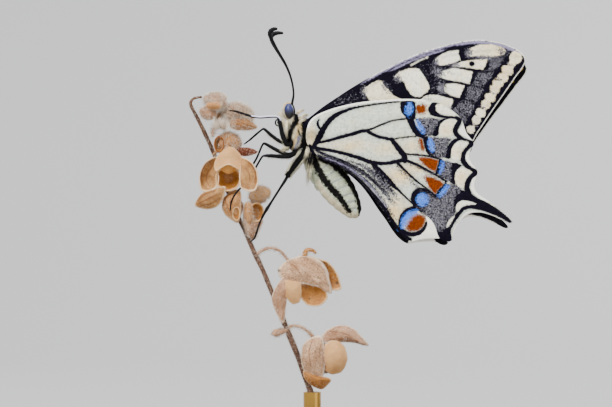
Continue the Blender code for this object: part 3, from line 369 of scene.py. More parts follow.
# Hindwing markings: lines of x, y and width, then shapes
HINDWING_LINES = [
    [(313.8, 146.5, 3.5), (318, 140, 5.8), (321, 134, 5.8), (325, 127, 5.4), (330, 120.5, 5),
     (337, 115, 4.3), (345, 111.3, 3.2), (353, 108.6, 2.4), (370, 105.4, 1.7), (385, 103.3, 1.6),
     (398, 101.7, 2.2)],
    [(322, 131.5, 2.4), (319, 128, 2.6), (317.4, 124, 2.4), (318.6, 120.4, 1.2)],
    [(316, 143.8, 2.2), (330, 140.6, 2.8), (340, 137.7, 3.2), (350, 135, 3.4), (360, 132, 3.6),
     (366, 130.8, 3), (372, 129, 1.9), (380, 125.5, 1.7), (390, 121.7, 1.6), (400, 119.6, 1.5),
     (408, 119, 1.5)],
    [(366, 131, 3), (372, 134.3, 3), (378, 137, 3), (385, 138.5, 3), (392, 140, 3.6)],
    [(392, 139.8, 1.6), (400, 138, 1.2), (416, 136.6, 1.2), (423, 136.2, 1.4)],
    [(391, 139.5, 3.6), (395, 144.5, 5), (400, 151, 5.4), (404, 156.5, 5.6), (404.5, 161, 4.8)],
    [(405, 154.5, 1.8), (416, 155, 1.6), (425, 156, 1.7), (435, 158, 1.9), (441, 160, 1.4)],
    [(403, 160, 3.4), (410, 162, 2.6), (420, 166.5, 2.2), (430, 172, 1.9), (436, 175.5, 1.8),
     (446, 182, 1.4)],
    [(310.5, 147, 3), (320, 149.2, 3.4), (330, 150.8, 3.2), (340, 153, 3.2), (350, 155.7, 3.6),
     (360, 158.7, 3.8), (370, 162.2, 4), (380, 163.6, 3.6), (390, 163.1, 3.6), (397, 161.4, 3.8),
     (403, 160.5, 4)],
    [(396, 162, 3), (402, 168, 2.3), (408, 173.7, 2), (416, 181, 1.7), (425, 188, 1.7), (433, 194, 1.9),
     (437, 197.5, 1.9)],
    [(370, 161.5, 3.4), (378, 170, 5.2), (385, 177, 5.2), (390, 182, 4.6), (395, 187.5, 3.2),
     (400, 192, 2), (405, 197, 1.5), (411, 202.5, 1.5), (416, 207.5, 1.8)],
    [(375, 197.5, 3.4), (384.8, 210, 3.8), (390, 219, 4), (397, 228, 4.2), (404.7, 236, 3.6),
     (410, 239.5, 3)],
    [(309.5, 146, 3), (312, 151.5, 3.8), (316, 156.8, 3.4), (324, 160.8, 3.2), (336, 165.4, 3.2),
     (350, 173.6, 3.2), (364, 185.6, 3.4), (375, 197.5, 3.4)],
    [(316, 151, 1.6), (330, 157, 2.2), (345, 163, 2.4), (355, 168, 2.4), (364, 173.4, 2),
     (374, 182, 1.6), (383, 191, 0.8)],
    [(318, 155.5, 1.4), (334, 162.2, 1.8), (348, 168, 1.8), (360, 176.6, 1.4), (370, 186, 0.8)],
    [(407.6, 117.5, 5), (410.6, 122, 6.2), (413.4, 128, 6.2), (417.6, 133.6, 5.8), (423.4, 137, 4.8)],
    [(439.6, 160.5, 2.6), (438.5, 166, 3), (436, 173.5, 2.6)],
    [(445, 184, 2.6), (441.5, 188.5, 3.2), (438, 192, 3.2), (436.5, 197.5, 2.4)],
    [(420, 209.4, 2.2), (415.6, 206, 4.6), (413.4, 200, 6), (414.6, 194.4, 6.8), (418.6, 191.4, 6.4),
     (423.4, 190.6, 4.6), (430, 192.7, 2.4), (436.5, 197, 2.2)],
    [(399.8, 228, 3.6), (400.6, 219, 4.6), (405.2, 212.4, 5.4), (411, 209.2, 5.6), (417, 208.8, 4.8),
     (421.5, 210.7, 2.6)],
    [(426, 222.4, 2), (424.6, 227.6, 4.2), (420.4, 232, 4.8), (414, 234.2, 4.6), (407, 233.4, 4),
     (400.5, 229, 3.2)],
    [(440, 117.3, 1.6), (448, 117.2, 2.4), (455, 118, 3.4), (459, 120.6, 4), (457, 125, 5),
     (454.6, 130, 5.2), (456, 135, 4.8), (460.5, 138.2, 3.4), (466, 140.8, 3), (473, 143.3, 4)],
    [(473.3, 143.5, 4), (468, 146.6, 4.8), (463.8, 151, 5.2), (461.9, 156.3, 5.2), (462.9, 161.6, 5),
     (466.5, 166.3, 4.6), (471, 169.7, 4), (476.5, 172.3, 4.6)],
    [(476.5, 172.5, 4), (471, 176.5, 4.8), (467.5, 181.5, 5.4), (466, 187, 5.6), (467.3, 192.5, 5.4),
     (471, 197, 5), (476, 200.5, 4.4)],
    [(509, 221.3, 3), (500, 216, 3.6), (490, 211.4, 4.2), (480, 208, 4.2), (470, 206.6, 4),
     (464, 207.8, 4), (459.5, 211.6, 4.2), (456, 216.5, 4), (452.5, 221.5, 3.8), (449.5, 227, 3.8),
     (447.5, 232, 4)],
]
HINDWING_DARK = [
    [(400.3, 100.3), (399.6, 108), (402, 114.5), (408, 119.5), (415, 120.5), (415.4, 110), (415, 101.2)],
    [(422.3, 136.5), (423.3, 145), (426, 153.5), (432.4, 157.3), (429.4, 146), (428.4, 137)],
    [(432, 102.5), (428.6, 106.5), (427.2, 111), (430.6, 115.6), (438, 118), (448, 117.8),
     (438.6, 114.2), (435, 111), (435.8, 107.5), (442, 103.6)],
    [(441, 119), (435.4, 125), (432, 131), (431, 136.4), (437.8, 136.6), (438.2, 130), (440.4, 124),
     (444.2, 120.6), (452, 117.5)],
    [(454, 138.4), (448.4, 144), (445.2, 150), (443, 157.8), (450.2, 159.4), (451, 150), (453.4, 145),
     (457.2, 141.2), (465, 138.6)],
    [(452, 162.2), (462, 165.2), (457.4, 168.6), (454.8, 173), (454, 179), (455.4, 185.2),
     (449.4, 182.5), (447.8, 175), (448, 168)],
    [(451, 207), (452.4, 199), (451.4, 196), (455, 191), (462, 190.3), (470, 195.3), (478, 198.8),
     (487, 202.4), (496, 208.4), (504, 214.4), (511, 221), (509, 222.5), (500, 217.7), (490, 212.8),
     (480, 208.9), (470, 206.3), (476, 203.9), (470, 201.4), (463, 200.2), (457.8, 201.9), (455, 206.2),
     (455.4, 212), (452.6, 212)],
    [(434, 227), (440, 227), (446, 227.8), (450, 229.6), (450.6, 235), (451.4, 240.8), (446, 241.8),
     (440, 240.4), (437, 237), (435.4, 232)],
]
HINDWING_DUST = [
    [(414, 117.6), (441, 118.6), (436, 125), (433, 131), (431.5, 136.5), (424, 136.8), (420, 131),
     (417, 124)],
    [(427.4, 136.8), (453, 138.2), (448, 144), (446, 150), (444, 158.4), (436, 158.4), (430, 155.4),
     (428, 146)],
    [(440, 160), (453, 162), (450, 170), (451, 182), (446, 181.4), (437, 175.4), (438.5, 168)],
    [(416, 208), (415, 199), (420, 190.6), (430, 193), (437, 197), (441, 192), (446, 184), (454, 183.3),
     (463, 189.5), (457, 194), (453.5, 199), (452.5, 206), (455.6, 212), (452.5, 219), (446, 226.5),
     (442, 231.5), (434.6, 231), (427.4, 219), (420, 211.5)],
]
HINDWING_DUST_LINES = [
    [(318, 152.5, 2), (330, 157.4, 4), (345, 163.6, 5), (355, 168.4, 5.6), (365, 174.4, 6),
     (375, 182.4, 6.4), (385, 193, 6), (394, 204, 2.5)],
    [(345, 159.5, 2), (362, 166.5, 5), (374, 174, 8.6), (384, 184, 9), (392, 193, 5), (398, 200, 1)],
    [(325, 160.5, 3), (345, 167, 4.4), (355, 172.5, 4.8), (365, 180.5, 4.8), (376, 192, 4.4),
     (386, 206, 3), (394, 219, 1.5)],
    [(396, 166, 1), (408, 178, 2.4), (420, 190, 2)],
    [(408, 163.6, 1), (420, 168.4, 1.6), (432, 174.6, 1.4)],
]
WARM_SPOTS = [
    (311, 136, 6, 13, 1.0), (350, 146, 22, 7, 0.7), (385, 150, 12, 8, 0.7), (412, 147, 9, 8, 0.8),
    (400, 176, 14, 9, 0.9), (415, 168, 10, 6, 0.7), (396, 212, 12, 14, 1.0), (428, 226, 7, 9, 0.8),
    (446, 130, 7, 6, 0.6), (458, 150, 7, 7, 0.5), (460, 178, 6, 8, 0.7), (424, 110, 6, 6, 0.6),
]
HINDWING_CREAM = [
    [(436.3, 104), (441, 103.8), (447, 108.3), (453, 113), (456.5, 117), (448, 116.3), (440, 114),
     (436, 111), (435.2, 107.5)],
    [(440, 125), (443.3, 121.3), (450, 119.2), (456.6, 120.4), (453, 126), (451.5, 130), (451.8, 136),
     (440, 135.5), (438.4, 130)],
    [(451, 150), (454, 144.3), (459, 141.7), (465, 141), (469.3, 143), (465, 147.2), (461, 152),
     (459.6, 161), (450.2, 159)],
    [(454.2, 180), (455, 173.3), (458, 169.3), (462, 167.4), (467, 169.3), (471.8, 171.8), (467, 176),
     (464, 181.5), (463.2, 188.3), (457, 186.5)],
    [(455.8, 211.6), (455.3, 206.3), (458, 202.3), (463, 200.6), (470, 201.8), (477, 203.8),
     (472, 204.6), (465, 205.2), (460.5, 207.5), (457.8, 211.3)],
    [(446.2, 227), (447.3, 222), (450, 218.2), (455, 215), (451.6, 220.7), (448.2, 226.5)],
]
HINDWING_FRINGE = [
    [(463, 123.5), (459, 128.2), (458, 131.5), (460.5, 135.3), (470.5, 140.3), (475, 142), (469, 134),
     (466.5, 130), (465, 123)],
    [(473.5, 147.2), (469, 150), (466.2, 153.5), (465, 157.5), (466.2, 161.5), (469.5, 165.2),
     (475.5, 169.5), (474, 164), (471, 158), (471, 152)],
    [(477.5, 175), (472, 178.5), (470.2, 183), (470, 188), (472, 192.3), (476.5, 196.8), (489, 203.3),
     (490, 201.5), (480, 194), (476, 187), (477.5, 180)],
    [(502, 219.8), (492, 215), (482, 211.7), (472, 210.2), (466.5, 211.3), (462.8, 214.3),
     (459.5, 219.3), (455.6, 224.3), (452.6, 230.5), (451.6, 238.5), (456, 238), (460, 226), (466, 219),
     (474, 215.5), (484, 215.5), (496, 220)],
    [(425, 215.3), (430, 219.2), (434.5, 226), (436, 232), (439.5, 239.3), (430, 241), (419, 241.5),
     (411, 242), (413, 236.8), (420, 235), (425, 230), (427.3, 223.6), (426, 218.7)],
]
HINDWING_BLUE_SPOTS = [(408.6, 109.8, 3.6, 6, 6), (421.8, 199.8, 5.6, 6.2)]
HINDWING_BLUE_LINES = [
    [(416.6, 121.4, 2.4), (419.4, 127, 4.4), (422.8, 132, 2.8)],
    [(429.6, 139.4, 2.6), (430.3, 144.8, 5), (431.8, 150.6, 3.2)],
    [(441.8, 161.5, 1.8), (441.6, 166.6, 3.6), (439.4, 172.6, 2.2)],
    [(446.8, 186, 2.6), (443.2, 191, 4.4), (439.2, 195.6, 3)],
    [(402.8, 226, 4.4), (404.4, 219.8, 6), (408.6, 214.6, 6.2), (415.4, 212, 4.4)],
]
HINDWING_LILAC_LINES = [
    [(407, 224.4, 4), (410.6, 218.8, 5.4), (416.6, 214.8, 4.4)],
    [(326, 158.6, 0.3), (340, 164, 0.7), (352, 170.4, 0.9), (364, 180.2, 0.9), (376, 193.6, 0.7),
     (386, 207, 0.3)],
]
HINDWING_ORANGE = [
    [(418.2, 138.6), (423, 138), (424.4, 150.4), (420, 150.2)],
    [(417.6, 158.6), (426, 157), (438.4, 160), (439, 163), (436, 172.6), (429.6, 170), (424, 165)],
    [(423.6, 175.6), (432, 177.6), (440, 181), (444.4, 184.2), (441.4, 188), (438, 191), (436.2, 196.6),
     (431.6, 192), (427, 184.6)],
    [(414.6, 215.4), (420.6, 214.6), (424.6, 218), (425, 222.4), (421.4, 228.2), (416, 231.2),
     (409, 230.8), (405.6, 228.4), (408.8, 222.4)],
    [(415.2, 105.6), (424.8, 105.4), (425.6, 109.6), (424.6, 113.6), (416, 113.8), (415, 110)],
]

# Body, as in the solids: places and halves in drawing units, widths across the middle plane and hairs in mm
THORAX_HALF = (21.8, 18)
THORAX_HALF_WIDTH = 2.35
HEAD_CENTRE = (288.5, 111)
HEAD_HALF = (7.2, 9.6)
HEAD_HALF_WIDTH = 1.35
HEAD_AXIS = (0.05, 1)
THROAT_CENTRE = (294, 121)
THROAT_HALF = (0.9, 1.15, 1.5)
THROAT_AXIS = (0.5, 0.8)
EYE_CENTRE = (289.2, 111.3)
EYE_HALF = (4.9, 7.9)
EYE_HALF_WIDTH = 1.0
EYE_AXIS = (0.08, 1)
EYE_SUNK = 0.02
EYE_MIDDLE = 0.85
# Heights in mm over and under the eye's middle where the painted blue sheen is full and where the eye's black
# begins
EYE_SHEEN_TOP = 0.4
EYE_BLACK_LOW = 0.45
EYE_BARE = (0.72, 1.2, 0.6)
BELLY_START = 150
BELLY_REACH = 20
TAIL_FROM = (317, 156)
HEAD_BELOW = (288, 121, -0.6)
FLANK_FROM = 9
FLANK_HAIR = 0.45
# Coat by part, in mm: spacing, length and half width of the hairs, then their rise as a share of the length
TAIL_COAT = (0.11, 0.2, 0.045, 0.22)
HEAD_COAT = (0.085, 0.3, 0.04, 0.5)
MAIN_COAT = (0.105, 0.55, 0.04, 0.36)
HAIR_SIDE = (0.3, 1, 0.2)
BODY_SEED = 11
LIMB_SEED = 5
PERCH_SEED = 23
ABDOMEN = [
    (309, 152, 8, 1.4), (314.5, 160, 12, 1.65), (322.5, 169.5, 15.6, 2.1), (331, 180, 17.3, 2.25),
    (339, 190.5, 17, 2.2), (346, 200, 14.6, 1.95), (351.5, 208, 11.4, 1.6), (355, 213.5, 8.4, 1.3),
]
ABDOMEN_TIP = (2.4, 3.6, -5.4, -0.8)
ABDOMEN_SEGMENTS = 9
ABDOMEN_SIDES = 40
SEAM_DEPTH = 0.055
SEAM_SLOPE = 3.2
BODY_LINE = [
    (287, 97), (288, 106), (290, 116), (296, 127), (303, 139), (311, 153), (319, 166), (329, 180),
    (338, 192), (346, 203), (352, 211), (357, 218),
]
PALP = [(289, 128, 0.75, 0.3), (284.6, 124, 0.8, 0.36), (281.2, 118, 0.8, 0.36), (279.8, 111.6, 0.72, 0.2)]
PALP_SLIM = 0.8
PALP_SIDES = 16
SKIN_VOXEL = 0.13
SKIN_BLENDS = 4
SHOULDER_TUFTS = [
    ((297, 113.2, 0.8), (300.4, 110.8, 1.0), (304.4, 109.8, 0.9)),
    ((299.6, 118.2, 1.3), (303.6, 115.6, 1.45), (308.2, 114.8, 1.3)),
    ((299.6, 122.6, 1.6), (303.2, 119.8, 1.75), (307, 118.8, 1.6)),
]
FRONT_TUFTS = [
    ((288, 148.6, 1.6), (284.4, 149, 2.2), (280.6, 151.4, 2.4)),
    ((307.6, 149, 1.9), (307, 154, 2.6), (305.4, 158.6, 2.7)),
    ((287.4, 122, 1.2), (285.6, 131, 1.8), (287, 141, 1.9)),
]
REAR_TUFTS = [
    ((309.8, 150, 1.4), (309.6, 170, 2.65), (306.4, 190, 1.9)),
    ((311, 149, 1.5), (310.6, 160, 2.7), (308, 171, 2.6)),
]

# Tufts: their places, hairs a side, spread in mm, the dark mark's field, and tone from cream to the tail's
TUFTS = [(spots, 320, 0.11, -3.0, 0.0) for spots in SHOULDER_TUFTS]
TUFTS += [(spots, 80, 0.2, -3.0, 0.4) for spots in FRONT_TUFTS]
TUFTS += [(REAR_TUFTS[0], 70, 0.26, -3.0, 0.6), (REAR_TUFTS[1], 150, 0.42, 2.0, 0.6)]

# Body markings: lines of x, y and width, the same on both sides
BODY_DARK = [
    [(292.4, 103.4, 3), (294.6, 108, 5), (295.4, 112, 6.8), (296.8, 117, 7.4), (294.8, 122, 6.6),
     (291.8, 127, 5.6), (290, 133, 5), (289.4, 139, 4.8)],
    [(291, 140, 5), (288.6, 146, 6), (286, 151, 5)],
    [(303.6, 118, 8), (305, 126, 8.6), (305.2, 134, 8.8), (304.6, 141, 8.8), (300.8, 147.6, 8.4),
     (294.6, 149.6, 6)],
    [(297.6, 129.6, 1.6), (299.6, 134.4, 1.8)],
    [(286, 99.6, 1), (289.4, 98.4, 2), (292.4, 99.6, 3), (294, 103, 3)],
    [(310.5, 151, 7), (311.5, 161, 7)],
    [(319, 158, 5), (324, 160.4, 6), (332, 163.2, 6.4), (343.4, 174.4, 6.6), (352.4, 186.8, 6.6),
     (358, 199, 6.4), (360, 209, 5.6), (360, 214, 4)],
    [(312.6, 156, 6), (318.6, 169.8, 7), (328, 184.5, 7.2), (338.5, 196, 6.6), (345, 205, 5.4),
     (349.6, 212.4, 4)],
]
BODY_BLUE = [
    [(287.6, 137, 3.4), (287, 143, 4.4), (285.6, 149, 3.4)],
    [(298.8, 136, 3), (297, 142, 2.8), (294, 146.5, 2)],
    [(321, 169.4, 0.7), (328, 163.6, 0.7)],
    [(326, 176.4, 0.7), (336.6, 168.6, 0.7)],
    [(331, 183, 0.7), (343.4, 177, 0.7)],
    [(336.4, 189, 0.7), (349.6, 184.6, 0.7)],
    [(341.6, 195.6, 0.7), (353.6, 192.6, 0.7)],
    [(346, 202, 0.7), (356, 200.4, 0.7)],
    [(349.6, 208.4, 0.7), (357, 208, 0.7)],
]
BODY_BLUSH = [
    [(317, 180, 3), (321, 188, 5), (328.5, 198, 6), (338, 206.5, 6.5), (347, 213.5, 6.5), (354, 216.5, 7),
     (360, 215, 6)],
]
BODY_GOLD = [
    [(298, 122.6, 4.6), (298.8, 128, 5), (296.6, 134, 3.4), (293.8, 141, 3), (292, 146, 2)],
    [(285.4, 103.4, 3.4), (289, 101.6, 4), (292, 102.6, 2.4)],
]

# Legs: side, the stations where shin and foot start, then stations of x, y, distance and radius in mm
HIND_LEG = [
    (305, 148, 0.9, 0.55), (301.5, 156, 1.9, 0.58), (296, 163.4, 2.3, 0.6), (291, 170.6, 2.5, 0.42),
    (288.3, 175, 2.5, 0.28), (284.8, 181, 2.5, 0.27), (279, 190, 2.4, 0.25), (272.3, 200.6, 2.3, 0.25),
    (266.6, 209.6, 2.2, 0.27), (262, 218, 2.1, 0.25), (258.6, 226.4, 1.95, 0.25), (256.4, 233.6, 1.7, 0.25),
]
LEGS = {
    "leg_fore_l": (-1, 4, 8, [
        (295, 142, 0.9, 0.5), (287.5, 145, 1.6, 0.44), (283.4, 138, 2.1, 0.42), (280.8, 127, 2.3, 0.36),
        (279.2, 119.5, 2.4, 0.27), (276.5, 117.2, 2.4, 0.25), (269, 117.2, 2.35, 0.25),
        (260, 117.8, 2.25, 0.25), (251, 116.4, 2.1, 0.25), (243, 113.9, 2.0, 0.25), (236, 111.7, 1.9, 0.23),
        (230, 110.7, 1.8, 0.14),
    ]),
    "leg_fore_r": (1, 4, 6, [
        (295, 142, 0.9, 0.5), (287, 143.5, 1.6, 0.44), (279, 140.6, 2.0, 0.4), (271, 135, 2.2, 0.34),
        (264.4, 128.9, 2.35, 0.26), (262, 129, 2.35, 0.25), (255.5, 134.4, 1.9, 0.25),
        (249.5, 139.8, 1.4, 0.25), (244, 144, 0.9, 0.15),
    ]),
    "leg_mid_l": (-1, 4, 8, [
        (297, 152, 0.9, 0.5), (289, 156.4, 1.7, 0.46), (280, 156.8, 2.5, 0.42), (272, 156.2, 2.9, 0.35),
        (264.6, 155.9, 3.0, 0.26), (262.3, 157.4, 2.95, 0.25), (259.3, 162, 2.75, 0.25),
        (255.7, 168.5, 2.5, 0.25), (251, 177, 2.15, 0.25), (245, 184.6, 2.15, 0.25), (239, 190, 2.45, 0.25),
        (234.2, 196.5, 2.65, 0.25), (231.4, 203.5, 2.65, 0.22), (230.7, 210.3, 2.5, 0.14),
    ]),
    "leg_mid_r": (1, 4, 8, [
        (297, 152, 0.9, 0.5), (289, 154.6, 1.8, 0.46), (281, 152, 2.45, 0.4), (272, 147.4, 2.75, 0.34),
        (264.6, 143.2, 2.9, 0.26), (262.3, 144.4, 2.9, 0.25), (259.2, 151.3, 2.85, 0.25),
        (256, 158.6, 2.7, 0.25), (251, 166.5, 2.5, 0.25), (245.5, 172.5, 2.35, 0.23),
        (239.8, 177, 2.25, 0.14),
    ]),
    "leg_hind_l": (-1, 4, 8, [*HIND_LEG, (254.3, 238.4, 0.75, 0.22), (250.5, 241.6, -0.1, 0.14)]),
    "leg_hind_r": (1, 4, 8, [*HIND_LEG, (254.3, 238.4, 1.95, 0.22), (251, 241.6, 1.8, 0.14)]),
}
LEG_STEPS = 10
LEG_SIDES = 14
FOOT_PARTS = 5
SPIKE_LENGTH = 0.3
CLAW_LENGTH = 0.42
SPIKE_RADIUS = 0.04
HIND_HAIRS = 2400
LEG_HAIRS = 420

# Feelers and proboscis
FEELER_STEPS = 24
FEELER_SIDES = 12
FEELER_RING = 0.32
ANTENNA = [
    (291, 108, 0.45, 0.24), (292.6, 101, 0.65, 0.2), (293.6, 94, 1.0, 0.17), (292.6, 85, 1.6, 0.165),
    (290, 75, 2.3, 0.17), (285.8, 65, 3.1, 0.18), (280.6, 56, 3.8, 0.19), (276, 48.3, 4.4, 0.22),
    (272.2, 41.3, 4.9, 0.28),
]
CLUBS = {
    "antenna_l": (-1, [(270.3, 36.6, 5.15, 0.36), (271, 33.2, 5.25, 0.38), (274, 31.2, 5.2, 0.34),
                       (277.6, 30.6, 5.0, 0.2)]),
    "antenna_r": (1, [(270.8, 36, 5.15, 0.36), (272.6, 32.6, 5.25, 0.38), (277, 31, 5.2, 0.34),
                      (283, 31.2, 5.0, 0.2)]),
}
PROBOSCIS_CENTRE = (278.8, 123)
PROBOSCIS_TURNS = 1.6
PROBOSCIS_OUTER = 0.74
PROBOSCIS_PITCH = 0.36
PROBOSCIS_RADIUS = 0.15
PROBOSCIS_ROWS = 120

# Perch: place on the drawing, distance from the middle plane in mm, radius in mm
STEM = [
    (312.6, 402, 0, 0.5), (312.2, 396.5, 0, 0.5), (307.5, 383, 0, 0.5), (298, 356.5, 0, 0.48),
    (285.5, 326, 0, 0.46), (273, 295, 0.1, 0.42), (262.5, 269.5, 0.3, 0.4), (254, 252, 0.6, 0.4),
    (245, 231.5, 1.3, 0.37), (236, 213, 2.3, 0.36), (227, 190, 3.1, 0.35), (219, 168, 3.2, 0.34),
    (212, 150, 2.5, 0.34), (204.5, 133, 1.5, 0.34), (197.5, 118.5, 0.8, 0.32), (192.3, 108.5, 0.4, 0.28),
    (190.6, 102.6, 0.2, 0.24), (194, 98.4, 0.1, 0.22), (201.5, 96.9, 0, 0.2),
]
STEM_STEPS = 16
STEM_SIDES = 16
STALK_STEPS = 12
STALK_SIDES = 14
STEM_BUD = [(288, 330, -0.2, 0.3), (281, 331.4, -0.4, 0.6), (275.5, 333, -0.5, 0.72), (272, 334, -0.5, 0.3)]


def oval_rim(centre, half_width, half_height, count):
    """A rim of an even distance around a spot of the side drawing."""
    x, y, away = centre
    angles = [2 * math.pi * k / count for k in range(count)]
    return [(x + half_width * math.cos(a), y + half_height * math.sin(a), away) for a in angles]


